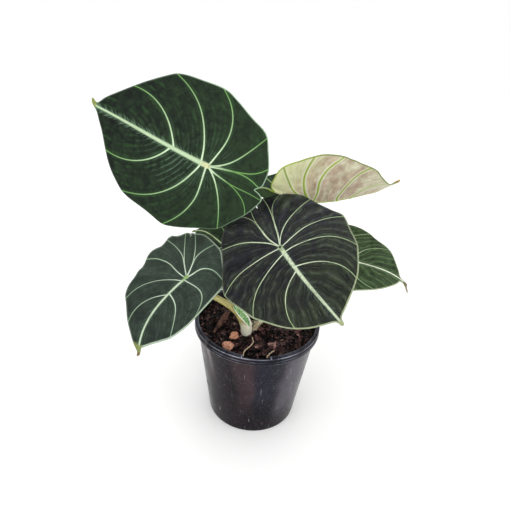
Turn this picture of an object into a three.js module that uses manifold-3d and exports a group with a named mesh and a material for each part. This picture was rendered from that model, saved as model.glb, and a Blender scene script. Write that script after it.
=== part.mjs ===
// Alocasia black velvet in a round nursery pot: millimetres, +Z up, the pot stands on z = 0
// and -Y is the front. The potting mix fills the pot; the petioles rise from the crown at its
// middle and each carries one thick, velvety, shield-shaped blade.
import * as THREE from 'three';
import { mergeVertices } from 'three/addons/utils/BufferGeometryUtils.js';
import Module from 'manifold-3d';

const wasm = await Module();
wasm.setup();

// pot
const potTall = 115, rimR = 65, lipTall = 9, wall = 1.5, floorThick = 2;
const baseR = 47, bodyTopR = 61.5, slotFrom = -103, slotTo = -77;
const drainHoles = 6, drainR = 4.5, drainAt = 30;
// potting mix
const mixTop = 107, mound = 3, gap = 0.35;
// blades
const bladeThick = 0.9, edgeThick = 0.7, ribDeep = 0.6, puff = 1.0, ripple = 0.9;
const degrees = THREE.MathUtils.degToRad;

// deterministic random numbers for the lumps of the mix and the outlines of the chips
function seeded(seed) {
  let s = seed;
  return () => {
    s = (s * 16807) % 2147483647;
    return s / 2147483647;
  };
}

// ---------------------------------------------------------------- solids
function toManifold(geometry) {
  const g = geometry.clone();
  g.deleteAttribute('normal');
  g.deleteAttribute('uv');
  const m = mergeVertices(g, 1e-4);
  const index = [];
  for (let i = 0; i < m.index.count; i += 3) {
    const [a, b, c] = [m.index.getX(i), m.index.getX(i + 1), m.index.getX(i + 2)];
    if (a !== b && b !== c && a !== c) index.push(a, b, c);
  }
  return new wasm.Manifold(new wasm.Mesh({
    numProp: 3,
    vertProperties: new Float32Array(m.attributes.position.array),
    triVerts: new Uint32Array(index),
  }));
}

function toGeometry(manifold) {
  const mesh = manifold.getMesh();
  const g = new THREE.BufferGeometry();
  g.setAttribute('position', new THREE.BufferAttribute(new Float32Array(mesh.vertProperties), 3));
  g.setIndex(new THREE.BufferAttribute(new Uint32Array(mesh.triVerts), 1));
  return g;
}

const group = new THREE.Group();
group.name = 'alocasia_black_velvet';

function addPart(name, geometry, color, roughness) {
  const g = geometry.index ? geometry.toNonIndexed() : geometry;
  g.computeVertexNormals();
  const mesh = new THREE.Mesh(g, new THREE.MeshStandardMaterial({ color, roughness, metalness: 0 }));
  mesh.name = name;
  group.add(mesh);
}

// body of revolution about Z from a closed outline of [radius, height] pairs
function revolve(outline, segments) {
  const g = new THREE.LatheGeometry(outline.map(([r, z]) => new THREE.Vector2(r, z)), segments);
  return g.rotateX(Math.PI / 2);
}

function smooth(path) {
  return new THREE.CatmullRomCurve3(path.map((p) => new THREE.Vector3(...p)), false, 'catmullrom', 0.5);
}

// closed round rod along a smooth path, its radius running through the listed values
function rod(path, radii, rings, sides) {
  const curve = smooth(path);
  const frames = curve.computeFrenetFrames(rings);
  const position = [], index = [];
  for (let i = 0; i <= rings; i++) {
    const u = i / rings, centre = curve.getPointAt(u);
    const k = Math.min(Math.floor(u * (radii.length - 1)), radii.length - 2);
    const r = THREE.MathUtils.lerp(radii[k], radii[k + 1], u * (radii.length - 1) - k);
    for (let j = 0; j < sides; j++) {
      const a = (j / sides) * 2 * Math.PI;
      position.push(...centre.clone()
        .addScaledVector(frames.normals[i], r * Math.cos(a))
        .addScaledVector(frames.binormals[i], r * Math.sin(a)).toArray());
    }
  }
  position.push(...curve.getPointAt(0).toArray(), ...curve.getPointAt(1).toArray());
  const last = (rings + 1) * sides;
  for (let j = 0; j < sides; j++) {
    const n = (j + 1) % sides;
    for (let i = 0; i < rings; i++) {
      const [a, b, c, d] = [i * sides + j, i * sides + n, (i + 1) * sides + n, (i + 1) * sides + j];
      index.push(a, b, c, a, c, d);
    }
    index.push(last, n, j, last + 1, rings * sides + j, rings * sides + n);
  }
  const g = new THREE.BufferGeometry();
  g.setAttribute('position', new THREE.Float32BufferAttribute(position, 3));
  g.setIndex(index);
  return g;
}

// ---------------------------------------------------------------- blade outline and vein lines
// One half of the flat blade as shares of its length, petiole point at (0, 0) and tip at (1, 0).
// Vein lines are numbered from the tip (0) over the four laterals (1 to 4) and the two prongs of
// the basal vein (5, 6) to the sinus (7); outline rows are [line, along, across].
const outline = [
  [0, 1, 0], [0.15, 0.95, 0.02], [0.4, 0.9, 0.088], [0.7, 0.83, 0.168], [1, 0.755, 0.258],
  [1.35, 0.685, 0.34], [1.7, 0.6, 0.418], [2, 0.505, 0.485], [2.5, 0.33, 0.528], [3, 0.135, 0.557],
  [3.3, 0.02, 0.522], [3.6, -0.12, 0.464], [4, -0.275, 0.41], [4.5, -0.36, 0.305], [5, -0.432, 0.19],
  [5.5, -0.458, 0.11], [6, -0.468, 0.045], [6.6, -0.445, 0.012], [7, -0.41, 0],
];
const veinStart = [[0.62, 0], [0.3, 0], [0.05, 0], [0, 0], [0, 0], [0, 0], [0, 0], [0, 0]];
const veinNear = [[0.74, 0], [0.36, 0.09], [0.1, 0.16], [-0.035, 0.18], [-0.12, 0.07],
  [-0.17, 0.045], [-0.17, 0.028], [-0.15, 0]];
const veinFar = [[0.87, 0], [0.5, 0.28], [0.22, 0.4], [-0.05, 0.38], [-0.19, 0.2],
  [-0.29, 0.072], [-0.3, 0.045], [-0.3, 0]];
const lineRows = [0, 0.07, 0.15, 0.3, 0.5, 0.75, 1, 1.33, 1.67, 2, 2.33, 2.67, 3, 3.33, 3.67, 4,
  4.5, 5, 5.5, 6, 6.3, 6.6, 6.85, 7];
const acrossSteps = [0, 0.15, 0.35, 0.57, 0.77, 0.91, 1];
const puffShare = [1, 1, 1, 0.9, 0.6, 0.15, 0.1];

function edgePoint(t, tail) {
  let i = 0;
  while (i < outline.length - 2 && t >= outline[i + 1][0]) i++;
  const slope = (j, c) => {
    const a = outline[Math.max(j - 1, 0)], b = outline[Math.min(j + 1, outline.length - 1)];
    return (b[c] - a[c]) / (b[0] - a[0]);
  };
  const h = outline[i + 1][0] - outline[i][0], u = (t - outline[i][0]) / h;
  const [x, y] = [1, 2].map((c) => (2 * u ** 3 - 3 * u * u + 1) * outline[i][c]
    + (u ** 3 - 2 * u * u + u) * h * slope(i, c)
    + (3 * u * u - 2 * u ** 3) * outline[i + 1][c] + (u ** 3 - u * u) * h * slope(i + 1, c));
  return [x + tail * Math.max(0, 1 - t / 0.15), y];
}

function linePoint(t, b, tail) {
  const k = Math.min(Math.floor(t), 6), u = t - k;
  const mix = (list, c) => THREE.MathUtils.lerp(list[k][c], list[k + 1][c], u);
  const edge = edgePoint(t, tail);
  return [0, 1].map((c) => (1 - b) ** 3 * mix(veinStart, c) + 3 * (1 - b) ** 2 * b * mix(veinNear, c)
    + 3 * (1 - b) * b * b * mix(veinFar, c) + b ** 3 * edge[c]);
}

// flat point (shares of the length) to its place on the bent blade
function bladePoint(leaf, flatX, flatY) {
  const side = flatY < 0 ? 1 : 0, tipward = flatX >= 0;
  const broad = 1 + 6.4 * leaf.blunt * Math.max(flatX, 0) ** 2 * (1 - Math.min(flatX, 1));
  const x = flatX * leaf.long * (tipward ? 1 : leaf.back);
  const y = flatY * leaf.long * leaf.wide[side] * broad;
  const drift = tipward ? leaf.bow * x * (1 - Math.min(flatX, 1)) : leaf.kink * x;
  const bend = (degrees(tipward ? leaf.arch : leaf.backArch) + 1e-6) / leaf.long;
  const xBent = Math.min(x, leaf.long), over = x - xBent;
  const slope = bend * xBent, hang = slope + degrees(leaf.hang) * Math.min(1, over / 4);
  const fold = degrees(leaf.fold[side]), cup = degrees(leaf.cup[side]) / leaf.long + 1e-9;
  const s = Math.abs(y);
  const wideY = (Math.sin(fold + cup * s) - Math.sin(fold)) / cup * Math.sign(y) + drift;
  const liftZ = (Math.cos(fold) - Math.cos(fold + cup * s)) / cup;
  const twist = degrees(leaf.twist) * x / leaf.long;
  const across = wideY * Math.cos(twist) - liftZ * Math.sin(twist);
  const up = wideY * Math.sin(twist) + liftZ * Math.cos(twist);
  return new THREE.Vector3(
    Math.sin(slope) / bend + over * Math.cos(hang) + up * Math.sin(slope),
    across,
    (Math.cos(slope) - 1) / bend - over * Math.sin(hang) + up * Math.cos(slope),
  );
}

function bladeNormal(leaf, x, y, side) {
  const e = 0.004, yIn = y === 0 ? side * 1e-6 : y;
  const p = bladePoint(leaf, x, yIn);
  const along = bladePoint(leaf, x + (x < 0 ? -e : e), yIn).sub(p).multiplyScalar(x < 0 ? -1 : 1);
  const out = bladePoint(leaf, x, yIn + side * e).sub(p).multiplyScalar(side);
  return along.cross(out).normalize();
}

function pose(leaf) {
  const turn = new THREE.Matrix4().makeRotationZ(degrees(leaf.yaw))
    .multiply(new THREE.Matrix4().makeRotationY(degrees(leaf.pitch)))
    .multiply(new THREE.Matrix4().makeRotationX(degrees(leaf.roll)));
  return turn.setPosition(...leaf.at);
}

// the upward direction where the petiole meets the blade
function attachNormal(leaf) {
  const n = bladeNormal(leaf, 0.001, 0, 1).add(bladeNormal(leaf, 0.001, 0, -1)).normalize();
  return n.transformDirection(pose(leaf));
}

// closed solid of one blade: an upper and a lower skin on the same net of vein lines,
// puffed up between the laterals, rippled at the margin and ribbed under the midrib
function blade(leaf) {
  const position = [], index = [], known = new Map();
  const vertex = (i, j, side, face) => {
    const t = lineRows[i], b = acrossSteps[j];
    let [x, y] = linePoint(t, b, leaf.tail);
    y = Math.abs(y) < 1e-9 ? 0 : y * side;
    const key = `${face},${x.toFixed(5)},${y.toFixed(5)}`;
    if (!known.has(key)) {
      const n = y === 0
        ? bladeNormal(leaf, x, 0, 1).add(bladeNormal(leaf, x, 0, -1)).normalize()
        : bladeNormal(leaf, x, y, side);
      const between = puffShare[Math.min(Math.floor(t), 6)] * Math.sin(Math.PI * (t % 1)) ** 2
        * Math.sin(Math.PI * b ** 1.3);
      const wave = ripple * Math.sin(t * 4.1 + leaf.phase + side) * b ** 4 * Math.min(1, t / 0.8);
      const rib = y === 0 || b === 0 ? ribDeep * Math.max(0, 1 - Math.abs(x) * (x > 0 ? 0.9 : 2)) : 0;
      const half = THREE.MathUtils.lerp(bladeThick, edgeThick, b) / 2;
      const lift = (y === 0 ? 0 : puff * between + wave) + (face > 0 ? half : -half - rib);
      known.set(key, position.length / 3);
      position.push(...bladePoint(leaf, x, y).addScaledVector(n, lift).toArray());
    }
    return known.get(key);
  };
  const triangle = (a, b, c, flip) => {
    if (a === b || b === c || a === c) return;
    index.push(...(flip ? [a, c, b] : [a, b, c]));
  };
  const edge = acrossSteps.length - 1;
  for (const side of [1, -1]) {
    for (let i = 0; i < lineRows.length - 1; i++) {
      for (let j = 0; j < edge; j++) {
        for (const face of [1, -1]) {
          const [p, q, r, s] = [[i, j], [i, j + 1], [i + 1, j + 1], [i + 1, j]]
            .map(([m, n]) => vertex(m, n, side, face));
          triangle(p, q, r, side * face < 0);
          triangle(p, r, s, side * face < 0);
        }
      }
      const [a, b] = [vertex(i, edge, side, 1), vertex(i + 1, edge, side, 1)];
      const [c, d] = [vertex(i, edge, side, -1), vertex(i + 1, edge, side, -1)];
      triangle(a, c, d, side < 0);
      triangle(a, d, b, side < 0);
    }
  }
  const g = new THREE.BufferGeometry();
  g.setAttribute('position', new THREE.Float32BufferAttribute(position, 3));
  g.setIndex(index);
  return g.applyMatrix4(pose(leaf));
}

// ---------------------------------------------------------------- leaves
// at: petiole point; yaw, pitch, roll: heading of the tip, its dip and the bank of the blade;
// arch and backArch bend the midrib before and behind that point; fold and cup lift the two
// halves; foot and via: the petiole's root on the crown and the points it passes
const plain = { hang: 0, tail: 0, bow: 0, kink: 0, blunt: 0, twist: 0, approach: 10, phase: 0 };
const leaves = {
  upper_left: {
    at: [-53, -12, 281], yaw: 171, pitch: -23, roll: -66, long: 116, wide: [1.01, 0.99], back: 0.97,
    arch: 2, backArch: 8, fold: [-6, 0], cup: [-19, -9], twist: -4, bow: 0.03, kink: 0.03, blunt: 0.03,
    foot: [-11, -6, 104], via: [[-13, -12, 135], [-18, -15, 170], [-27, -4, 207], [-39, 10, 240]],
    approach: 16, radii: [4, 3.6, 3, 2.6, 2.5, 2.4, 2.4], color: '#1f3327', stalk: '#a9a871',
  },
  front: {
    at: [15, -45, 226], yaw: -59, pitch: 11, roll: 32, long: 101, wide: [1.04, 1.09], back: 1.16,
    arch: -4, backArch: -5, fold: [5, 3], cup: [-9, -3], twist: 7, bow: -0.04, kink: -0.11, blunt: 0.01,
    foot: [0, -11, 104], via: [[1, -12, 125], [7, -22, 165]],
    radii: [4, 3.4, 2.8, 2.4, 2.3], color: '#2a2c30', stalk: '#a9a871', phase: 2,
  },
  lower_left: {
    at: [-68, -44, 186], yaw: -109, pitch: 12, roll: -15, long: 83, wide: [1.05, 1.01], back: 1.35,
    arch: 28, backArch: 4, fold: [15, -20], cup: [44, 9], twist: -4, bow: -0.26, kink: 0.43, blunt: -0.12,
    foot: [-12, -22, 103], via: [[-14, -24, 122], [-24, -26, 142], [-42, -31, 158]], approach: 8,
    radii: [5.4, 6.4, 5.8, 3.8, 3.1, 3, 2.9, 2.8, 2.7, 2.6, 2.6, 2.5, 2.5, 2.4, 2.4, 2.4, 2.4],
    color: '#2c3d39', stalk: '#c9bf86', phase: 4,
  },
  back_right: {
    at: [44, 37, 228], yaw: 23, pitch: 12, roll: -24, long: 119, wide: [0.97, 1.05], back: 1.15,
    arch: -41, backArch: -31, fold: [45, 42], cup: [3, 16], twist: 15, bow: 0.5, kink: 0.35, blunt: -0.14,
    foot: [5, 5, 104], via: [[6, 5, 140], [6, 6, 170], [10, 12, 192], [27, 24, 209]], approach: 8,
    radii: [3.6, 3, 2.6, 2.4, 2.3, 2.3], color: '#b3b58c', stalk: '#a9a871', phase: 1,
  },
  lower_right: {
    at: [50, 15, 190], yaw: -24, pitch: -4, roll: 13, long: 93, wide: [1, 1.01], back: 0.8,
    arch: 16, backArch: 8, fold: [2, 3], cup: [-12, -5], twist: 7, bow: 0.11, tail: 0.11, hang: 62,
    foot: [9, -4, 104], via: [[14, -5, 130], [30, 3, 160]],
    radii: [3.6, 3, 2.5, 2.3, 2.2], color: '#35492f', stalk: '#a9a871', phase: 3,
  },
  behind: {
    at: [-22, 22, 179], yaw: 156, pitch: -17, roll: -27, long: 62, wide: [1, 1], back: 0.8,
    arch: 17, backArch: 8, fold: [4, 4], cup: [-8, -8], bow: 0.06,
    foot: [-12, 5, 104], via: [[-17, 8, 130], [-22, 18, 155]], approach: 8,
    radii: [3, 2.5, 2.1, 1.9, 1.9], color: '#26352a', stalk: '#a9a871', phase: 5,
  },
};

// ---------------------------------------------------------------- pot
const flare = (z) => THREE.MathUtils.lerp(baseR, bodyTopR, z / (potTall - lipTall));
const lipLow = potTall - lipTall, groove = potTall - 3.6;
const shell = toManifold(revolve([
  [0, 0], [baseR - 1, 0], [baseR, 1], [flare(40), 40], [flare(lipLow), lipLow],
  [rimR - 0.8, lipLow], [rimR, lipLow + 0.8], [rimR, groove - 1], [rimR - 0.9, groove], [rimR, groove + 1],
  [rimR, potTall - 1], [rimR - 1, potTall], [rimR - 3.6, potTall], [rimR - 4.4, potTall - 1],
  [flare(lipLow) - wall, lipLow - 2], [flare(40) - wall, 40], [baseR - wall, floorThick + 1],
  [baseR - wall - 1, floorThick], [0, floorThick],
], 48));
let pot = shell;
for (let i = 0; i < drainHoles; i++) {
  const a = (i / drainHoles) * 2 * Math.PI;
  const hole = new THREE.CylinderGeometry(drainR, drainR, 10, 14).rotateX(Math.PI / 2);
  pot = pot.subtract(toManifold(hole.translate(drainAt * Math.cos(a), drainAt * Math.sin(a), 0)));
}
const slotShape = new THREE.Shape()
  .absarc(0, 0, rimR - 1.8, degrees(slotFrom), degrees(slotTo), false)
  .absarc(0, 0, rimR - 6, degrees(slotTo), degrees(slotFrom), true);
const slotCut = new THREE.ExtrudeGeometry(slotShape, { depth: 8, bevelEnabled: false, curveSegments: 8 });
pot = pot.subtract(toManifold(slotCut.translate(0, 0, potTall - 5)));
addPart('pot', toGeometry(pot), '#25262a', 0.35);

// ---------------------------------------------------------------- stalks, crown and sheaths
const stalkSolids = [];
function stalkPath(leaf) {
  const up = attachNormal(leaf), top = new THREE.Vector3(...leaf.at);
  const end = top.clone().addScaledVector(up, -(bladeThick / 2 + ribDeep + 0.45));
  const before = top.clone().addScaledVector(up, -leaf.approach);
  return [leaf.foot, ...leaf.via, before.toArray(), end.toArray()];
}
for (const [name, spec] of Object.entries(leaves)) {
  const leaf = { ...plain, ...spec };
  addPart(`blade_${name}`, blade(leaf), leaf.color, 0.75);
  const path = stalkPath(leaf);
  addPart(`petiole_${name}`, rod(path, leaf.radii, 16, 8), leaf.stalk, 0.5);
  const low = [leaf.foot[0], leaf.foot[1], leaf.foot[2] - gap];
  stalkSolids.push(toManifold(rod([low, ...path.slice(1)], leaf.radii.map((r) => r + gap), 16, 8)));
}

// egg-shaped swelling round one point
const egg = (x, y, z, rx, rz) => new THREE.SphereGeometry(rx, 16, 8).rotateX(Math.PI / 2)
  .scale(1, 1, rz / rx).translate(x, y, z);
function crownShape(extra) {
  const eggs = [[-3, -3, 100, 15, 13], [0, -10, 103, 7, 9], [-12, -20, 98, 9, 9]];
  return eggs.map(([x, y, z, rx, rz]) => toManifold(egg(x, y, z, rx + extra, rz + extra)))
    .reduce((a, b) => a.add(b));
}

// open green sheath lying along the lower-left petiole, a shallow boat with its hollow to the front
function boat(path, widest, deep, thick, facing) {
  const curve = smooth(path);
  const rows = 12, cols = 6, position = [], index = [];
  const front = new THREE.Vector3(...facing).normalize();
  for (const skin of [0, 1]) {
    for (let i = 0; i <= rows; i++) {
      const u = i / rows, along = curve.getTangentAt(u);
      const side = new THREE.Vector3().crossVectors(along, front).normalize();
      const out = new THREE.Vector3().crossVectors(side, along).normalize();
      const half = 0.5 + widest * Math.sin(Math.PI * (0.04 + 0.92 * u)) ** 0.8;
      for (let j = 0; j <= cols; j++) {
        const v = (j / cols) * 2 - 1;
        const hollow = deep * (v * v - 1) * (half / widest) - skin * thick;
        position.push(...curve.getPointAt(u).addScaledVector(side, v * half)
          .addScaledVector(out, hollow).toArray());
      }
    }
  }
  const at = (skin, i, j) => skin * (rows + 1) * (cols + 1) + i * (cols + 1) + j;
  const quad = (a, b, c, d) => index.push(a, b, c, a, c, d);
  for (let i = 0; i < rows; i++) {
    for (let j = 0; j < cols; j++) {
      quad(at(0, i, j), at(0, i, j + 1), at(0, i + 1, j + 1), at(0, i + 1, j));
      quad(at(1, i, j), at(1, i + 1, j), at(1, i + 1, j + 1), at(1, i, j + 1));
    }
    quad(at(0, i, 0), at(0, i + 1, 0), at(1, i + 1, 0), at(1, i, 0));
    quad(at(0, i, cols), at(1, i, cols), at(1, i + 1, cols), at(0, i + 1, cols));
  }
  for (let j = 0; j < cols; j++) {
    quad(at(0, 0, j), at(1, 0, j), at(1, 0, j + 1), at(0, 0, j + 1));
    quad(at(0, rows, j), at(0, rows, j + 1), at(1, rows, j + 1), at(1, rows, j));
  }
  const g = new THREE.BufferGeometry();
  g.setAttribute('position', new THREE.Float32BufferAttribute(position, 3));
  g.setIndex(index);
  return g;
}
const sheathPath = [[-7.6, -26, 121.5], [-10.8, -26, 131], [-17, -26.9, 143.5], [-26.8, -28.4, 152.5]];
addPart('sheath_open', boat(sheathPath, 2.3, 1.2, 1, [0.25, -0.8, 0.55]), '#5f7d45', 0.5);
const layScale = (grow) => rod([[-0.5, -18.5, 106 - grow], [1, -18.5, 112], [4.5, -19, 121]],
  [2.6 + grow, 2.4 + grow, 0.8 + grow], 8, 10);
addPart('sheath_scale', layScale(0), '#cdbf9b', 0.6);

const crown = stalkSolids.reduce((body, stalk) => body.subtract(stalk), crownShape(0))
  .subtract(toManifold(layScale(gap)));
addPart('crown', toGeometry(crown), '#d8d2b0', 0.6);

// ---------------------------------------------------------------- mix, bark and surface roots
// rough chip of bark: a seeded polygon, thick and bevelled, then turned and laid down
function chip(seed, rx, ry, thick, grow) {
  const random = seeded(seed), corners = 8, shape = new THREE.Shape();
  for (let i = 0; i < corners; i++) {
    const a = (i / corners) * 2 * Math.PI, r = 0.78 + 0.32 * random();
    shape[i ? 'lineTo' : 'moveTo']((rx * r + grow) * Math.cos(a), (ry * r + grow) * Math.sin(a));
  }
  shape.closePath();
  const bevel = thick * 0.25;
  return new THREE.ExtrudeGeometry(shape, {
    depth: thick + 2 * grow - 2 * bevel, bevelSize: bevel, bevelThickness: bevel, bevelOffset: -bevel,
    bevelSegments: 1, steps: 1,
  }).translate(0, 0, -thick / 2 - grow + bevel);
}
const chips = [
  { name: 'bark_chip_a', seed: 11, rx: 5.4, ry: 4.8, thick: 3, turn: [0.3, -0.15, 0.5],
    at: [-24.5, -26.5, 110.6], color: '#b06a45' },
  { name: 'bark_chip_b', seed: 29, rx: 6.6, ry: 5.4, thick: 3, turn: [0.25, 0.2, -0.3],
    at: [-27, -43, 109.8], color: '#a9654a' },
  { name: 'bark_stick', seed: 5, rx: 19, ry: 3, thick: 3.4, turn: [0.2, 0.05, 1.2],
    at: [-36, -4.5, 110.6], color: '#4a2f26' },
];
const roots = [
  { name: 'surface_root_a', at: [[-3.9, -23, 107.5], [-3.2, -30, 110.4], [-3, -37, 109.8],
    [-9.5, -46.5, 109.6], [-11, -55.5, 109]], r: 0.7 },
  { name: 'surface_root_b', at: [[11.5, -54, 108.6], [14.5, -49, 109.7], [18.5, -44, 109.2]], r: 0.7 },
];
const layChip = (c, grow) => chip(c.seed, c.rx, c.ry, c.thick, grow)
  .applyMatrix4(new THREE.Matrix4().makeRotationFromEuler(new THREE.Euler(...c.turn)))
  .translate(...c.at);
function layRoot(root, grow) {
  const ends = root.at.map((p) => new THREE.Vector3(...p)), n = ends.length;
  const reach = (end, next) => end.clone().add(end.clone().sub(next).setLength(grow)).toArray();
  const path = [reach(ends[0], ends[1]), ...root.at.slice(1, -1), reach(ends[n - 1], ends[n - 2])];
  return rod(path, [root.r * 0.8 + grow, root.r + grow, root.r * 0.8 + grow], 12, 6);
}
for (const c of chips) addPart(c.name, layChip(c, 0), c.color, 0.85);
for (const r of roots) addPart(r.name, layRoot(r, 0), '#b99c78', 0.7);

const lumps = [];
const random = seeded(7);
for (let i = 0; i < 90; i++) {
  const a = random() * 2 * Math.PI, d = 58 * Math.sqrt(random());
  lumps.push([d * Math.cos(a), d * Math.sin(a), 4 + 5 * random(), (random() - 0.4) * 3.4]);
}
function mixHeight(x, y) {
  const d = Math.hypot(x + 3, y + 8);
  const lump = lumps.reduce((h, [lx, ly, r, tall]) => {
    const near = Math.max(0, 1 - ((x - lx) ** 2 + (y - ly) ** 2) / (r * r));
    return h + tall * near * near;
  }, 0);
  return mixTop + mound * Math.max(0, 1 - d / 45) + lump * Math.min(1, (60 - Math.hypot(x, y)) / 8);
}
const inner = (z) => flare(z) - wall - gap;
const topR = inner(mixTop - 1);
const rings = [topR, 54, 47, 40, 33, 26, 18, 9];
const mixBase = revolve([[0, floorThick + gap], [baseR - wall - gap - 1.2, floorThick + gap],
  [baseR - wall - gap - 0.2, floorThick + 1.4], [inner(40), 40], [topR, mixTop - 1],
  ...rings.slice(1).map((r) => [r, mixTop]), [0, mixTop]], 40);
const mixPos = mixBase.attributes.position;
for (let i = 0; i < mixPos.count; i++) {
  if (mixPos.getZ(i) > mixTop - 0.5) mixPos.setZ(i, mixHeight(mixPos.getX(i), mixPos.getY(i)));
}
let mixture = toManifold(mixBase).subtract(crownShape(gap));
for (const stalk of stalkSolids) mixture = mixture.subtract(stalk);
for (const c of chips) mixture = mixture.subtract(toManifold(layChip(c, gap + 0.3)));
for (const r of roots) mixture = mixture.subtract(toManifold(layRoot(r, gap)));
mixture = mixture.subtract(toManifold(layScale(gap)));
addPart('potting_mix', toGeometry(mixture), '#3b2620', 0.95);

export default group;
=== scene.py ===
import math
import bmesh
import bpy
import numpy as np
from mathutils import Matrix, Vector, noise


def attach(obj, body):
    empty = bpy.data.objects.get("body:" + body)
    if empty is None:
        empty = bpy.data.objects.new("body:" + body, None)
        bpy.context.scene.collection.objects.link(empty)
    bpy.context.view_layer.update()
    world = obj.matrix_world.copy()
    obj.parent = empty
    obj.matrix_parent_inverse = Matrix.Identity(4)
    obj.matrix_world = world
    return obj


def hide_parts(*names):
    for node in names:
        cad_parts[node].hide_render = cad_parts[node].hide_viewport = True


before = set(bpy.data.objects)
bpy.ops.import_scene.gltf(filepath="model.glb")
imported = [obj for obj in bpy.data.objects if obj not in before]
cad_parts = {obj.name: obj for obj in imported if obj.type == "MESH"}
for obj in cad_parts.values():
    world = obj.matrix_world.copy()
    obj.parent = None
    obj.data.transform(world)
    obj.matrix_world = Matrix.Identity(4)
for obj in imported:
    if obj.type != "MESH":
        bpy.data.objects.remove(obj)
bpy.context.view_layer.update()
mm = 0.001  # lengths below are in millimetres, and meshes are made in metres
print("frame loaded:", len(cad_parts), "nodes")


def linear(hexColour):  # an sRGB hex colour as the linear colour that nodes take
    parts = [int(hexColour[i:i + 2], 16) / 255 for i in (1, 3, 5)]
    return [p / 12.92 if p <= 0.04045 else ((p + 0.055) / 1.055) ** 2.4 for p in parts] + [1.0]


def linearLook(look):  # the same values with every hex colour made linear
    return {key: linear(value) if isinstance(value, str) else value for key, value in look.items()}


def add(tree, kind, inputs=None, out=0, **settings):  # adds a node and gives one output of it
    made = tree.nodes.new(kind)
    for key, value in settings.items():
        setattr(made, key, value)
    for key, value in (inputs or {}).items():
        if isinstance(value, bpy.types.NodeSocket):
            tree.links.new(value, made.inputs[key])
        else:
            made.inputs[key].default_value = value
    return made if out is None else made.outputs[out]


# Sockets go by name or by number: a mix has its share at 0 and its colours at 6 and 7, a map range turns
# the value at 0 from the range 1 to 2 into the range 3 to 4, and math has its numbers at 0, 1 and 2.
rgba = {"out": 2, "data_type": "RGBA"}  # the output and type of a mix node that mixes colours
soft = {"interpolation_type": "SMOOTHSTEP"}  # a range that starts and ends gently


def newMaterial(name):
    made = bpy.data.materials.new(name)
    made.use_nodes = True
    made.node_tree.nodes.clear()
    return made, made.node_tree


def finishMaterial(tree, colour, roughness, constants, height=None, reach=0.3):
    # height is the bump in shares of reach, in millimetres; constants go on the shader's own sockets
    surface = {"Base Color": colour, "Roughness": roughness}
    if height is not None:
        surface["Normal"] = add(tree, "ShaderNodeBump", {"Height": height, "Distance": reach * mm})
    shader = add(tree, "ShaderNodeBsdfPrincipled", {**surface, **constants}, out=None)
    add(tree, "ShaderNodeOutputMaterial", {"Surface": shader.outputs[0]}, out=None)


def newPiece(name, mesh, materials, slot, *nodes):
    piece = bpy.data.objects.new(name, mesh)
    bpy.context.scene.collection.objects.link(piece)
    for material in materials:
        mesh.materials.append(material)
    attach(piece, "root")
    if nodes:
        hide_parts(*nodes)
    return piece


def meshFrom(name, points, faces, slots=None, fields=None, weld=1e-6):
    # points in millimetres; fields are named values of each point that the materials read
    mesh = bpy.data.meshes.new(name)
    mesh.from_pydata((np.asarray(points) * mm).tolist(), [], faces)
    if slots is not None:
        mesh.polygons.foreach_set("material_index", np.asarray(slots, np.int32))
    for key, values in (fields or {}).items():
        held = mesh.attributes.new(key, "FLOAT_VECTOR", "POINT")
        held.data.foreach_set("vector", np.asarray(values, np.float32).ravel())
    work = bmesh.new()
    work.from_mesh(mesh)
    bmesh.ops.remove_doubles(work, verts=work.verts, dist=weld)
    bmesh.ops.dissolve_degenerate(work, edges=work.edges, dist=weld)
    work.to_mesh(mesh)
    work.free()
    mesh.shade_smooth()
    return mesh


# One half of a flat blade as shares of its length, petiole point at (0, 0) and tip at (1, 0).
# Lines are numbered from the tip (0) over four laterals to the prongs (5, 6) and the sinus (7).
outline = np.array([
    [0, 1, 0], [0.05, 0.99, 0.012], [0.15, 0.95, 0.02], [0.4, 0.9, 0.088], [0.7, 0.83, 0.168],
    [1, 0.755, 0.258], [1.35, 0.685, 0.34], [1.7, 0.6, 0.418], [2, 0.505, 0.485], [2.5, 0.33, 0.528],
    [3, 0.135, 0.557], [3.3, 0.02, 0.522], [3.6, -0.12, 0.464], [4, -0.275, 0.41], [4.5, -0.36, 0.305],
    [5, -0.432, 0.19], [5.5, -0.458, 0.11], [6, -0.468, 0.045], [6.6, -0.445, 0.012], [7, -0.41, 0]])
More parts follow.
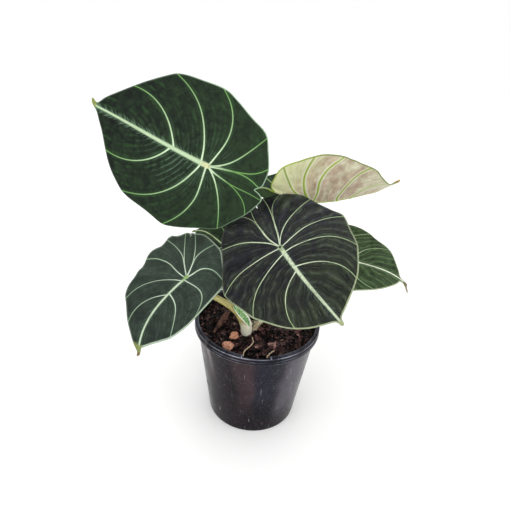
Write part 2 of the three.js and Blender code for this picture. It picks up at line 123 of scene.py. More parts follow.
# each line leaves the midrib or hub at its start, and near and far are the handles that bend it
veinStart = np.array([[0.62, 0], [0.3, 0], [0.05, 0], [0, 0], [0, 0], [0, 0], [0, 0], [0, 0]])
veinNear = np.array([[0.74, 0], [0.36, 0.09], [0.1, 0.16], [-0.035, 0.18], [-0.12, 0.07],
                     [-0.17, 0.045], [-0.17, 0.028], [-0.15, 0]])
veinFar = np.array([[0.87, 0], [0.5, 0.28], [0.22, 0.4], [-0.05, 0.38], [-0.19, 0.2],
                    [-0.29, 0.072], [-0.3, 0.045], [-0.3, 0]])
veinKnots = [0, .4, .7, 1]  # shares of the way out at which a vein's line number is given
bladeShape = {
    "thick": 0.9, "edgeThick": 0.7, "puff": 1.0, "ripple": 0.5,  # in mm; the last makes the margin wavy
    "puffShare": [1, 1, 1, 0.9, 0.6, 0.15, 0.1],  # how far the blade swells between two laterals
    "veinRows": [0.35, 0.8, 1.4, 2.2],  # distances of the net's rows from each lateral
    "rowCaps": [0.05, 0.1, 0.16, 0.22],  # and the most that each takes of a narrow gap
    "midRows": [17, 15, 13, 11, 9, 5, 5],  # rows in the middle of each gap
    "across": [0, .006, .014, .024, .038, .055, .075, .1, .13, .165, .2, .24, .28, .32, .36, .4, .44,
               .48, .52, .56, .6, .64, .68, .72, .76, .8, .84, .875, .905, .93, .95, .966, .98, .991, 1],
    "fineLines": [8, 7, 6, 5, 4, 1, 1],  # fine lines between two laterals
    "rimSwell": 0.12, "rimReach": 0.8, "rimOut": 0.3,  # the margin's swelling, its width and its rounding
    "grooveDeep": 0.22, "ribDeep": 0.5, "ribReach": 0.8,  # groove above and rib below each lateral
    "midribRise": 0.3, "midribCut": 0.2, "midribDeep": 1.0, "midribReach": 1.6, "hub": 2.0,
    "quilt": 0.13, "quiltGap": 12,  # height of the ridges between fine lines, and the gap with all of it
    "waveRate": 4.1, "prongMore": 0.35, "prongReach": 0.45,  # prongs are wider near the hub
    "trunk": [(4.4, 5.05, 5.2, 4.97), (4.48, 5.13, 5.6, 5.97)],  # the two prongs share a stem
}
plain = {  # what a blade has where its own values don't say otherwise
    "hang": 0, "tail": 0, "slim": 0, "bow": (0, 0, 0), "kink": 0, "hook": 0, "blunt": 0, "twist": 0,
    "phase": 0, "lobeShift": (0, 0, 0), "tipFold": (0, 0), "edge": {}, "veins": {}, "faint": {},
    "nub": 0.5, "nubShare": 0.94, "rimWide": 0.7, "rimShown": {}, "linesShown": {},
}


def smoothAt(table, at):  # smooth curve through the rows of a table whose first column rises
    table = np.asarray(table, float)
    i = np.clip(np.searchsorted(table[:, 0], at, side="right") - 1, 0, len(table) - 2)

    def slope(j):
        a, b = table[np.maximum(j - 1, 0)], table[np.minimum(j + 1, len(table) - 1)]
        return (b[..., 1:] - a[..., 1:]) / (b[..., :1] - a[..., :1])

    h = (table[i + 1, 0] - table[i, 0])[..., None]
    u = (at - table[i, 0])[..., None] / h
    return ((2 * u ** 3 - 3 * u * u + 1) * table[i, 1:] + (u ** 3 - 2 * u * u + u) * h * slope(i)
            + (3 * u * u - 2 * u ** 3) * table[i + 1, 1:] + (u ** 3 - u * u) * h * slope(i + 1))


def linePoint(t, b, leaf, side):
    # flat point at a share b of the way out along line t, as shares of the blade's length
    reach = leaf["edge"].get(side)
    if reach is not None:
        b = b * smoothAt(reach, t)[..., 0]
    k = np.minimum(np.floor(t).astype(int), 6)
    u, b = (t - k)[..., None], b[..., None]
    start, near, far = [rows[k] * (1 - u) + rows[k + 1] * u for rows in (veinStart, veinNear, veinFar)]
    end = smoothAt(outline, t)
    end[..., 0] += leaf["tail"] * np.maximum(0, 1 - t / 0.15)
    end[..., 1] *= 1 - leaf["slim"] * np.maximum(0, 1 - t / 0.3)
    flat = (1 - b) ** 3 * start + 3 * (1 - b) ** 2 * b * near + 3 * (1 - b) * b * b * far + b ** 3 * end
    flat[..., 1] = np.where(np.abs(flat[..., 1]) < 1e-9, 0, flat[..., 1] * side)
    return flat


def bladePoint(leaf, x0, y0):  # flat point, in shares of the length, to its place on the bent blade
    side, tipward = (y0 < 0).astype(int), x0 >= 0
    tip = np.clip(x0, 0, 1)
    x = x0 * leaf["long"] * np.where(tipward, 1, leaf["back"])
    blunt = 1 + 6.4 * leaf["blunt"] * np.maximum(x0, 0) ** 2 * (1 - tip)
    y = y0 * leaf["long"] * np.array(leaf["wide"])[side] * blunt
    sway = leaf["bow"][0] + leaf["bow"][1] * tip + leaf["bow"][2] * tip ** 2
    drift = np.where(tipward, sway * x * (1 - tip), leaf["kink"] * x)
    drift = drift + leaf["hook"] * np.clip((x0 - 0.93) / 0.07, 0, 2) ** 2
    bend = (np.radians(np.where(tipward, leaf["arch"], leaf["backArch"])) + 1e-6) / leaf["long"]
    xBent = np.minimum(x, leaf["long"])
    over, slope = x - xBent, bend * xBent
    hang = slope + math.radians(leaf["hang"]) * np.minimum(1, over / 4)
    toBack, toTip = np.clip(-x0 / 0.3, 0, 1), np.clip((x0 - 0.35) / 0.5, 0, 1)
    fold = np.radians(np.array(leaf["fold"], float)[side]
                      + np.array(leaf["tipFold"])[side] * toTip ** 2 * (3 - 2 * toTip))
    cup = np.radians(np.array(leaf["cup"], float))[side] / leaf["long"] + 1e-9
    s = np.abs(y)
    wideY = (np.sin(fold + cup * s) - np.sin(fold)) / cup * np.sign(y) + drift
    liftZ = (np.cos(fold) - np.cos(fold + cup * s)) / cup
    twist = math.radians(leaf["twist"]) * x / leaf["long"]
    up = wideY * np.sin(twist) + liftZ * np.cos(twist)
    place = np.stack([np.sin(slope) / bend + over * np.cos(hang) + up * np.sin(slope),
                      wideY * np.cos(twist) - liftZ * np.sin(twist),
                      (np.cos(slope) - 1) / bend - over * np.sin(hang) + up * np.cos(slope)], 1)
    lobe = np.clip(y0 / 0.08, 0, 1) * toBack  # the far lobe of a folded blade may stand off by itself
    return place + (lobe * lobe * (3 - 2 * lobe))[:, None] * np.array(leaf["lobeShift"], float)


def bladeNormal(leaf, x, y, side):
    step, sign = 0.004, np.where(x < 0, -1.0, 1.0)

    def oneSided(yIn, way):
        p = bladePoint(leaf, x, yIn)
        along = (bladePoint(leaf, x + sign * step, yIn) - p) * sign[:, None]
        n = np.cross(along, (bladePoint(leaf, x, yIn + way * step) - p) * way)
        return n / np.linalg.norm(n, axis=1, keepdims=True)

    on = y == 0
    n = oneSided(np.where(on, side * 1e-6, y), side)
    n[on] += oneSided(np.where(on, -side * 1e-6, y), -side)[on]
    return n / np.linalg.norm(n, axis=1, keepdims=True)


def leafPose(leaf):
    turn = (Matrix.Rotation(math.radians(leaf["yaw"]), 3, "Z")
            @ Matrix.Rotation(math.radians(leaf["pitch"]), 3, "Y")
            @ Matrix.Rotation(math.radians(leaf["roll"]), 3, "X"))
    return np.array(turn)


def veinTable(leaf, side):  # line numbers of the eight veins at every knot out from the hub
    rows = leaf["veins"].get(side, [])
    straight = [[n] * len(veinKnots) for n in range(8)]
    rows = [*rows, *straight[len(rows) + 1:5], *bladeShape["trunk"]][:6]
    return np.array([straight[0], *rows, straight[7]], float)


def toLine(points, line):  # distance of each point from a line of many short pieces
    a, d = line[:-1], np.diff(line, axis=0)
    best = np.full(len(points), 1e9)
    for start, way in zip(a, d):
        u = np.clip((points - start) @ way / max(way @ way, 1e-12), 0, 1)
        best = np.minimum(best, np.linalg.norm(points - start - u[:, None] * way, axis=1))
    return best


def bladeRows(leaf, across, side):
    # line number of every point of the net, with its place between two veins and the gap between these
    table = smoothAt(np.column_stack([veinKnots, veinTable(leaf, side).T]), across)
    flats = [linePoint(table[:, n], across, leaf, side) for n in range(8)]
    rows, gaps, lower = [], [], []
    for k in range(7):
        gap = np.linalg.norm(flats[k + 1] - flats[k], axis=1) * leaf["long"]
        near = [np.minimum(d / np.maximum(gap, 1e-6), cap)
                for d, cap in zip(bladeShape["veinRows"], bladeShape["rowCaps"])]
        spread = np.linspace(0, 1, bladeShape["midRows"][k] + 2)[1:-1]
        middle = [near[-1] + (1 - 2 * near[-1]) * s for s in spread]
        for share in [gap * 0, *near, *middle, *[1 - n for n in near[::-1]]]:
            rows.append(table[:, k] + share * (table[:, k + 1] - table[:, k]))
            lower.append(k + share)
            gaps.append(gap)
    return np.array([*rows, gap * 0 + 7]), np.array([*lower, gap * 0 + 7]), np.array([*gaps, gap])


def shownAt(table, side, n):  # how strongly a marking shows along the lines of one half, from a short table
    pairs = table.get(side, [(0, table.get("all", 1))])
    return np.interp(n, [p[0] for p in pairs], [p[1] for p in pairs])


def makeBlade(name, leaf):
    # upper skin, under skin and rounded rim of both halves, with the fields that the two skins read:
    # vein holds distances as shares of the half widths of laterals, midrib and rim; net holds the number
    # of the fine line, the gap in mm and the share out; plan holds the flat place in mm; zone holds the
    # line number and how strongly rim and fine lines show there
    shape = bladeShape
    across = np.array(shape["across"])
    long = leaf["long"]
    lines = np.array(shape["fineLines"])
    points, faces, slots, fields = [], [], [], {"vein": [], "net": [], "plan": [], "zone": []}
    for side in (1, -1):
        t, n, gap = bladeRows(leaf, across, side)
        rows, cols = t.shape
        t, n, gap = t.ravel(), n.ravel(), np.maximum(gap.ravel(), 1e-3)
        b = np.tile(across, rows)
        k = np.minimum(np.floor(n).astype(int), 6)
        share = n - k
        phase = np.concatenate([[0], np.cumsum(lines)])[k] + share * lines[k]
        flat = linePoint(t, b, leaf, side)
        x, y = flat[:, 0], flat[:, 1]
        rimT = np.linspace(0, 7, 500)
        toRim = toLine(flat, linePoint(rimT, np.ones(500), leaf, side)) * long
        lateral, veinShare = np.full(len(t), 99.0), np.full(len(t), 99.0)
        table = veinTable(leaf, side)
        for vein in range(1, 7):
            out = np.linspace(0, 1, 40)
            path = linePoint(smoothAt(np.stack([veinKnots, table[vein]], 1), out)[:, 0], out, leaf, side)
            away = toLine(flat, path) * long
            wide = leaf["lateral"][0] + (leaf["lateral"][1] - leaf["lateral"][0]) * b ** 0.7
            if vein > 4:
                nearHub = np.clip(1 - b / shape["prongReach"], 0, 1)
                wide = wide + shape["prongMore"] * leaf["lateral"][0] * nearHub
            drawn = leaf["faint"].get((vein, side), 1)
            if drawn > 0:
                lateral, veinShare = np.minimum(lateral, away), np.minimum(veinShare, away / (wide * drawn))
        fromHub = np.hypot(x, y) * long
        midHalf = leaf["midrib"][0] + (leaf["midrib"][1] - leaf["midrib"][0]) * np.clip(x, 0, 1) ** 0.8
        midShare = np.where(x >= 0, np.abs(y) * long / midHalf, 9)
        midShare = np.minimum(midShare, fromHub / shape["hub"])
        between = np.array(shape["puffShare"])[k] * np.sin(np.pi * share) ** 2 * np.sin(np.pi * b ** 1.3)
        wave = shape["ripple"] * np.sin(t * shape["waveRate"] + leaf["phase"] + side) * b ** 4
        wave = wave * np.minimum(1, t / 0.8)
        middle = np.where(y == 0, 0, shape["puff"] * between + wave)
        half = (shape["thick"] + (shape["edgeThick"] - shape["thick"]) * b) / 2
        half = half + shape["rimSwell"] * np.exp(-(toRim / shape["rimReach"]) ** 2)
        nub = leaf["nub"] * np.clip((x - 0.93) / 0.04, 0, 1) * np.clip((1.0 - x) / 0.03, 0, 1)
        ridges = shape["quilt"] * np.cos(2 * np.pi * phase) * np.sin(np.pi * b)
        ridges = ridges * np.minimum(1, gap / shape["quiltGap"])
        top = (middle + half + nub - ridges * (k < 4)
               - shape["grooveDeep"] * np.exp(-veinShare ** 2) * (n > 0.5) * (1 - b)
               + shape["midribRise"] * np.exp(-midShare ** 2)
               - shape["midribCut"] * np.exp(-(midShare / 0.4) ** 2))
        toMidrib = np.minimum(np.abs(y) * long, np.where(x < 0, fromHub, 99))
        nearMidrib = np.exp(-(toMidrib / shape["midribReach"]) ** 2)
        low = (middle - half - nub
               - shape["ribDeep"] * (1 - 0.65 * b) * np.exp(-(lateral / shape["ribReach"]) ** 2)
               - shape["midribDeep"] * np.clip(1 - 0.8 * x, 0, 1) * nearMidrib)
        normal = bladeNormal(leaf, x, y, side)
        place = bladePoint(leaf, x, y)
        outward = place.reshape(rows, cols, 3)[:, -1] - place.reshape(rows, cols, 3)[:, -3]
        outward /= np.maximum(np.linalg.norm(outward, axis=1, keepdims=True), 1e-9)
        edgeMiddle = (place + normal * middle[:, None]).reshape(rows, cols, 3)[:, -1]
        edgeMiddle = edgeMiddle + outward * shape["rimOut"]
        first = len(points)
        points += [*(place + normal * top[:, None]), *(place + normal * low[:, None]), *edgeMiddle]
        topVein = np.stack([veinShare, midShare, toRim / leaf["rimWide"]], 1)
        net = np.stack([phase, gap / lines[k], b], 1)
        plan = np.stack([x * long, y * long, fromHub], 1)
        rimShown, linesShown = [shownAt(leaf[key], side, t) for key in ("rimShown", "linesShown")]
        zone = np.stack([t * side, rimShown, linesShown], 1)
        for key, values in (("vein", topVein), ("net", net), ("plan", plan), ("zone", zone)):
            fields[key] += [*values, *values, *values.reshape(rows, cols, 3)[:, -1]]
        at = np.arange(rows * cols).reshape(rows, cols) + first
        rim = first + 2 * rows * cols + np.arange(rows)
        a, bb, c, d = at[:-1, :-1].ravel(), at[:-1, 1:].ravel(), at[1:, 1:].ravel(), at[1:, :-1].ravel()
        topFaces, lowFaces = np.stack([a, bb, c, d], 1), np.stack([a, d, c, bb], 1) + rows * cols
        edge = at[:, -1]
        rimTop = np.stack([edge[:-1], rim[:-1], rim[1:], edge[1:]], 1)
        rimLow = np.stack([edge[1:] + rows * cols, rim[1:], rim[:-1], edge[:-1] + rows * cols], 1)
        made = [topFaces, lowFaces, rimTop, rimLow]
        if side < 0:
            made = [f[:, ::-1] for f in made]
        faces += [f for block in made for f in block.tolist()]
        slots += [0] * len(topFaces) + [1] * len(lowFaces) + [0] * len(rimTop) + [1] * len(rimLow)
    points = np.array(points) @ leafPose(leaf).T + np.array(leaf["at"])
    return meshFrom(name, points, faces, slots, fields)


def velvetUpper(name, look):
    # upper skin of the leaf: a velvet of tiny cone-shaped cells that swallows most light, so the leaf is
    # nearly black face on; the veins are pale and smooth and the skin between them is finely quilted
    # (noise scales are one over a size in mm, because plan holds mm)
    material, tree = newMaterial(name)
    look = linearLook(look)
    veins, net, zone = [add(tree, "ShaderNodeSeparateXYZ",
                            {0: add(tree, "ShaderNodeAttribute", out=1, attribute_name=key)},
                            out=None).outputs for key in ("vein", "net", "zone")]
    plan = add(tree, "ShaderNodeAttribute", out=1, attribute_name="plan")
    where = add(tree, "ShaderNodeSeparateXYZ", {0: plan}, out=None).outputs
    patches = add(tree, "ShaderNodeTexNoise", {"Vector": plan, "Scale": 1 / look["patch"], "Detail": 4.0,
                                               "Roughness": 0.6, "Distortion": 0.5})
    wander = add(tree, "ShaderNodeTexNoise", {"Vector": plan, "Scale": 1 / 20, "Detail": 1.0})
    small = add(tree, "ShaderNodeTexNoise", {"Vector": plan, "Scale": 1 / 5, "Detail": 3.0})
    fibres = add(tree, "ShaderNodeTexNoise", {"Vector": plan, "Scale": 1 / 0.9, "Detail": 2.0})
    # fine lines follow the laterals, wander a little and show in places only
    bent = add(tree, "ShaderNodeMath", {0: wander, 1: look["wander"], 2: net["X"]},
               operation="MULTIPLY_ADD")
    bent = add(tree, "ShaderNodeMath", {0: small, 1: look["waver"], 2: bent}, operation="MULTIPLY_ADD")
    near = add(tree, "ShaderNodeMath", {0: bent, 1: 0.5}, operation="PINGPONG")
    away = add(tree, "ShaderNodeMath", {0: near, 1: net["Y"]}, operation="MULTIPLY")
    line = add(tree, "ShaderNodeMapRange", {0: away, 1: 0.1, 2: look["lineWide"], 3: 1.0, 4: 0.0}, **soft)
    broken = add(tree, "ShaderNodeMapRange", {0: patches, 1: 0.36, 2: 0.6, 3: 0.15, 4: 1.0})
    broken = add(tree, "ShaderNodeMath", {0: broken, 1: zone["Z"]}, operation="MULTIPLY")
    line = add(tree, "ShaderNodeMath", {0: line, 1: broken}, operation="MULTIPLY")
    inner = add(tree, "ShaderNodeMapRange", {0: net["Z"], 1: look["lineReach"] - 0.3, 2: look["lineReach"],
                                             3: 1.0, 4: 0.0})
    line = add(tree, "ShaderNodeMath", {0: line, 1: inner}, operation="MULTIPLY")
    wave = add(tree, "ShaderNodeMath", {0: bent, 1: 2 * math.pi * look["waves"]}, operation="MULTIPLY")
    wave = add(tree, "ShaderNodeMath", {0: wave}, operation="COSINE")
    # midrib with short barbs that leave it at a slant
    aside = add(tree, "ShaderNodeMath", {0: where["Y"]}, operation="ABSOLUTE")
    start = add(tree, "ShaderNodeMath", {0: aside, 1: -1.1, 2: where["X"]}, operation="MULTIPLY_ADD")
    half = add(tree, "ShaderNodeMath", {0: where["Y"]}, operation="SIGN")
    barbPlace = add(tree, "ShaderNodeCombineXYZ", {0: start, 1: half})
    barbLong = add(tree, "ShaderNodeTexNoise", {"Vector": barbPlace, "Scale": 0.75, "Detail": 1.0})
    barb = add(tree, "ShaderNodeMath", {0: barbLong, 1: -11.0, 2: aside}, operation="MULTIPLY_ADD")
    barb = add(tree, "ShaderNodeMapRange", {0: barb, 1: -4.6, 2: -1.6, 3: look["barbs"], 4: 0.0}, **soft)
    tipside = add(tree, "ShaderNodeMapRange", {0: where["X"], 1: -1.0, 2: 1.0, 3: 0.0, 4: 1.0})
    barb = add(tree, "ShaderNodeMath", {0: barb, 1: tipside}, operation="MULTIPLY")
    rough = add(tree, "ShaderNodeMath", {0: fibres, 1: 0.4, 2: veins["Y"]}, operation="MULTIPLY_ADD")
    midrib = add(tree, "ShaderNodeMapRange", {0: rough, 1: 0.9, 2: 1.5, 3: 1.0, 4: 0.0}, **soft)
    rough = add(tree, "ShaderNodeMath", {0: fibres, 1: 0.5, 2: veins["X"]}, operation="MULTIPLY_ADD")
    lateral = add(tree, "ShaderNodeMapRange", {0: rough, 1: 0.6, 2: 1.5, 3: 1.0, 4: 0.0}, **soft)
    halo = add(tree, "ShaderNodeMapRange", {0: veins["X"], 1: 0.8, 2: 6.0, 3: 1.0, 4: 0.0}, **soft)
    rim = add(tree, "ShaderNodeMapRange", {0: veins["Z"], 1: 0.6, 2: 1.4, 3: 1.0, 4: 0.0}, **soft)
    # ground colour, greener towards the tip and in patches, with painted shade and painted highlight in bands
    # along the quilting: lighter on its ridges, darker between them
    tipward = add(tree, "ShaderNodeMapRange", {0: where["X"], 1: look["greenFrom"], 2: look["greenTo"],
                                               3: -0.2, 4: 0.45})
    mottled = add(tree, "ShaderNodeMapRange", {0: patches, 1: 0.35, 2: 0.68, 3: 0.0, 4: 0.9})
    mixed = add(tree, "ShaderNodeMath", {0: mottled, 1: tipward}, operation="ADD", use_clamp=True)
    ground = add(tree, "ShaderNodeMix", {0: mixed, 6: look["dark"], 7: look["green"]}, **rgba)
    clumps = add(tree, "ShaderNodeTexNoise", {"Vector": plan, "Scale": 1 / 7, "Detail": 1.0})
    broken = add(tree, "ShaderNodeMapRange", {0: clumps, 1: 0.35, 2: 0.62, 3: 0.25, 4: 1.3})
    swell = add(tree, "ShaderNodeMath", {0: wave, 1: broken}, operation="MULTIPLY")
    tone = add(tree, "ShaderNodeMapRange", {0: swell, 1: -1.0, 2: 1.0, 3: 1 + look["bands"],
                                            4: 1 - look["bands"]})
    # painted light: lit makes the blade lighter towards one side, as if the light fell more on it there
    toLight = add(tree, "ShaderNodeMath", {0: where["X"], 1: -0.5, 2: where["Y"]}, operation="MULTIPLY_ADD")
    lit = add(tree, "ShaderNodeMapRange", {0: toLight, 1: -10.0, 2: 50.0, 3: 1.0, 4: 1 + look["lit"]})
    tone = add(tree, "ShaderNodeMath", {0: tone, 1: lit}, operation="MULTIPLY")
    speck = add(tree, "ShaderNodeMapRange", {0: fibres, 1: 0.3, 2: 0.7, 3: 0.86, 4: 1.14})
    tone = add(tree, "ShaderNodeMath", {0: tone, 1: speck}, operation="MULTIPLY")
    ground = add(tree, "ShaderNodeVectorMath", {0: ground, "Scale": tone}, operation="SCALE")
    streak = add(tree, "ShaderNodeMapRange", {0: swell, 1: 0.1, 2: 1.1, 3: 0.0, 4: look["streak"]}, **soft)
    some = add(tree, "ShaderNodeMapRange", {0: wander, 1: 0.42, 2: 0.62, 3: 0.0, 4: 1.0})
    streak = add(tree, "ShaderNodeMath", {0: streak, 1: some}, operation="MULTIPLY")
    ground = add(tree, "ShaderNodeMix", {0: streak, 6: ground, 7: look["glow"]}, **rgba)
    haloShare = add(tree, "ShaderNodeMath", {0: halo, 1: look["halo"]}, operation="MULTIPLY")
    ground = add(tree, "ShaderNodeMix", {0: haloShare, 6: ground, 7: look["glow"]}, **rgba)
    lineShare = add(tree, "ShaderNodeMath", {0: line, 1: look["lines"]}, operation="MULTIPLY")
    lineShare = add(tree, "ShaderNodeMath", {0: lineShare, 1: broken}, operation="MULTIPLY", use_clamp=True)
    ground = add(tree, "ShaderNodeMix", {0: lineShare, 6: ground, 7: look["line"]}, **rgba)
    ground = add(tree, "ShaderNodeMix", {0: barb, 6: ground, 7: look["barb"]}, **rgba)
    onLine = add(tree, "ShaderNodeMath", {0: zone["X"]}, operation="ABSOLUTE")
    sooner = add(tree, "ShaderNodeMapRange", {0: onLine, 1: 4.3, 2: 4.9, 3: 1.0, 4: 1 + look["backFade"]})
    fade = add(tree, "ShaderNodeMath", {0: net["Z"], 1: sooner}, operation="MULTIPLY")
    fade = add(tree, "ShaderNodeMapRange", {0: fade, 1: 0.1, 2: 0.95, 3: 0.0, 4: 1.0})
    veinColour = add(tree, "ShaderNodeMix", {0: fade, 6: look["vein"], 7: look["veinEnd"]}, **rgba)
    colour = add(tree, "ShaderNodeMix", {0: lateral, 6: ground, 7: veinColour}, **rgba)
    rimShare = add(tree, "ShaderNodeMath", {0: rim, 1: zone["Y"]}, operation="MULTIPLY")
    colour = add(tree, "ShaderNodeMix", {0: rimShare, 6: colour, 7: look["rim"]}, **rgba)
    seam = add(tree, "ShaderNodeMapRange", {0: veins["Y"], 1: 0.1, 2: 0.5, 3: 0.5, 4: 0.0})
    ribColour = add(tree, "ShaderNodeMix", {0: seam, 6: look["midrib"], 7: look["vein"]}, **rgba)
    hubShare = add(tree, "ShaderNodeMapRange", {0: where["Z"], 1: 2.0, 2: 9.0, 3: 1.0, 4: 0.0})
    ribColour = add(tree, "ShaderNodeMix", {0: hubShare, 6: ribColour, 7: look["hub"]}, **rgba)
    colour = add(tree, "ShaderNodeMix", {0: midrib, 6: colour, 7: ribColour}, **rgba)
    dot = add(tree, "ShaderNodeMapRange", {0: where["Z"], 1: 0.9, 2: 1.7, 3: look["dot"], 4: 0.0})
    colour = add(tree, "ShaderNodeMix", {0: dot, 6: colour, 7: look["dark"]}, **rgba)
    nub = add(tree, "ShaderNodeMapRange", {0: where["X"], 1: look["nubFrom"], 2: look["nubFrom"] + 2.5,
                                           3: 0.0, 4: 1.0})
    colour = add(tree, "ShaderNodeMix", {0: nub, 6: colour, 7: look["nub"]}, **rgba)
    end = add(tree, "ShaderNodeMapRange", {0: where["X"], 1: look["endFrom"] - 1, 2: look["endFrom"] + 0.5,
                                           3: 0.0, 4: 1.0})
    colour = add(tree, "ShaderNodeMix", {0: end, 6: colour, 7: look["end"]}, **rgba)
    roughness = add(tree, "ShaderNodeMapRange", {0: lateral, 1: 0.0, 2: 1.0, 3: 0.62, 4: 0.45})
    ridges = add(tree, "ShaderNodeMath", {0: swell, 1: -look["relief"], 2: fibres},
                 operation="MULTIPLY_ADD")
    bump = add(tree, "ShaderNodeMath", {0: small, 1: 2.0, 2: ridges}, operation="MULTIPLY_ADD")
    finishMaterial(tree, colour, roughness, {"Sheen Weight": 0.04, "Sheen Roughness": 0.5,
                   "Sheen Tint": look["sheen"], "Specular IOR Level": 0.12}, bump, 0.3)
    return material


def paleUnderside(name, look):
    # under skin: smooth and waxy, pale where the young blade holds little green, with raised olive veins and
    # a cream band of painted highlight beside them
    material, tree = newMaterial(name)
    look = linearLook(look)
    veins, net = [add(tree, "ShaderNodeSeparateXYZ",
                      {0: add(tree, "ShaderNodeAttribute", out=1, attribute_name=key)}, out=None).outputs
                  for key in ("vein", "net")]
    plan = add(tree, "ShaderNodeAttribute", out=1, attribute_name="plan")
    where = add(tree, "ShaderNodeSeparateXYZ", {0: plan}, out=None).outputs
    patches = add(tree, "ShaderNodeTexNoise", {"Vector": plan, "Scale": 1 / 15, "Detail": 3.0,
                                               "Roughness": 0.45})
    clouds = add(tree, "ShaderNodeTexNoise", {"Vector": plan, "Scale": 1 / 9, "Detail": 3.0,
                                              "Distortion": 0.4})
    wander = add(tree, "ShaderNodeTexNoise", {"Vector": plan, "Scale": 1 / 18, "Detail": 2.0})
    fibres = add(tree, "ShaderNodeTexNoise", {"Vector": plan, "Scale": 1 / 0.9, "Detail": 2.0})
    # fine hatching that runs out from the midrib between the laterals
    bent = add(tree, "ShaderNodeMath", {0: wander, 1: 2.0, 2: net["X"]}, operation="MULTIPLY_ADD")
    hatchPlace = add(tree, "ShaderNodeCombineXYZ",
                     {0: add(tree, "ShaderNodeMath", {0: bent, 1: 2.2}, operation="MULTIPLY"), 1: net["Z"]})
    hatch = add(tree, "ShaderNodeTexNoise", {"Vector": hatchPlace, "Scale": 1.6, "Detail": 3.0})
    near = add(tree, "ShaderNodeMath", {0: bent, 1: 0.5}, operation="PINGPONG")
    away = add(tree, "ShaderNodeMath", {0: near, 1: net["Y"]}, operation="MULTIPLY")
    line = add(tree, "ShaderNodeMapRange", {0: away, 1: 0.1, 2: 0.9, 3: 1.0, 4: 0.0}, **soft)
    blush = add(tree, "ShaderNodeMapRange", {0: where["X"], 1: look["blushFrom"], 2: look["blushTo"],
                                             3: -0.3, 4: 0.08})
    outer = add(tree, "ShaderNodeMapRange", {0: net["Z"], 1: 0.35, 2: 1.0, 3: 0.03, 4: -0.12})
    toTip = add(tree, "ShaderNodeMapRange", {0: where["X"], 1: 45.0, 2: 95.0, 3: 0.0, 4: look["blushTip"]})
    outer = add(tree, "ShaderNodeMath", {0: outer, 1: toTip}, operation="ADD")
    blotch = add(tree, "ShaderNodeMath", {0: patches, 1: blush}, operation="ADD")
    blotch = add(tree, "ShaderNodeMath", {0: blotch, 1: outer}, operation="ADD")
    blotch = add(tree, "ShaderNodeMapRange", {0: blotch, 1: 0.3, 2: 0.68, 3: 0.0, 4: look["blushMost"]},
                 **soft)
    tone = add(tree, "ShaderNodeMath", {0: hatch, 1: 0.8, 2: clouds}, operation="MULTIPLY_ADD")
    tone = add(tree, "ShaderNodeMapRange", {0: tone, 1: 0.55, 2: 1.2, 3: 0.0, 4: 1.0})
    ground = add(tree, "ShaderNodeMix", {0: tone, 6: look["pale"], 7: look["cream"]}, **rgba)
    redder = add(tree, "ShaderNodeMix", {0: tone, 6: look["blush"], 7: look["blushPale"]}, **rgba)
    ground = add(tree, "ShaderNodeMix", {0: blotch, 6: ground, 7: redder}, **rgba)
    leftward = add(tree, "ShaderNodeMapRange", {0: where["X"], 1: -50.0, 2: -12.0, 3: look["yellowMost"],
                                                4: 0.0})
    ground = add(tree, "ShaderNodeMix", {0: leftward, 6: ground, 7: look["yellow"]}, **rgba)
    # the far lobe of a young blade is already green
    far = add(tree, "ShaderNodeMath", {0: where["Y"], 1: 1.5}, operation="GREATER_THAN")
    lobe = add(tree, "ShaderNodeMapRange", {0: where["X"], 1: -12.0, 2: -20.0, 3: 0.0, 4: look["lobeMost"]})
    lobe = add(tree, "ShaderNodeMath", {0: lobe, 1: far}, operation="MULTIPLY")
    lineShare = add(tree, "ShaderNodeMath", {0: line, 1: 0.2}, operation="MULTIPLY")
    ground = add(tree, "ShaderNodeMix", {0: lineShare, 6: ground, 7: look["line"]}, **rgba)
    # painted highlight: a cream band on both sides of each vein, as if the raised veins caught the light
    edge = add(tree, "ShaderNodeMapRange", {0: veins["X"], 1: 1.8, 2: 4.5, 3: 0.85, 4: 0.0})
    core = add(tree, "ShaderNodeMapRange", {0: veins["X"], 1: 1.15, 2: 1.9, 3: 1.0, 4: 0.0}, **soft)
    rib = add(tree, "ShaderNodeMapRange", {0: veins["Y"], 1: 0.7, 2: 1.1, 3: 1.0, 4: 0.0}, **soft)
    rim = add(tree, "ShaderNodeMapRange", {0: veins["Z"], 1: 0.8, 2: 1.6, 3: 1.0, 4: 0.0}, **soft)
    colour = ground
    for share, tint in ((edge, "cream"), (core, "vein"), (rib, "midrib"), (lobe, "lobe")):
        colour = add(tree, "ShaderNodeMix", {0: share, 6: colour, 7: look[tint]}, **rgba)
    rimColour = add(tree, "ShaderNodeMix", {0: leftward, 6: look["rim"], 7: look["midrib"]}, **rgba)
    rimColour = add(tree, "ShaderNodeMix", {0: lobe, 6: rimColour, 7: look["lobeRim"]}, **rgba)
    colour = add(tree, "ShaderNodeMix", {0: rim, 6: colour, 7: rimColour}, **rgba)
    nub = add(tree, "ShaderNodeMapRange", {0: where["X"], 1: look["nubFrom"], 2: look["nubFrom"] + 2.5,
                                           3: 0.0, 4: 1.0})
    colour = add(tree, "ShaderNodeMix", {0: nub, 6: colour, 7: look["nub"]}, **rgba)
    roughness = add(tree, "ShaderNodeMapRange", {0: fibres, 1: 0.3, 2: 0.7, 3: 0.42, 4: 0.58})
    bump = add(tree, "ShaderNodeMath", {0: hatch, 1: 1.5, 2: fibres}, operation="MULTIPLY_ADD")
    finishMaterial(tree, colour, roughness, {"Specular IOR Level": 0.3}, bump, 0.2)
    return material
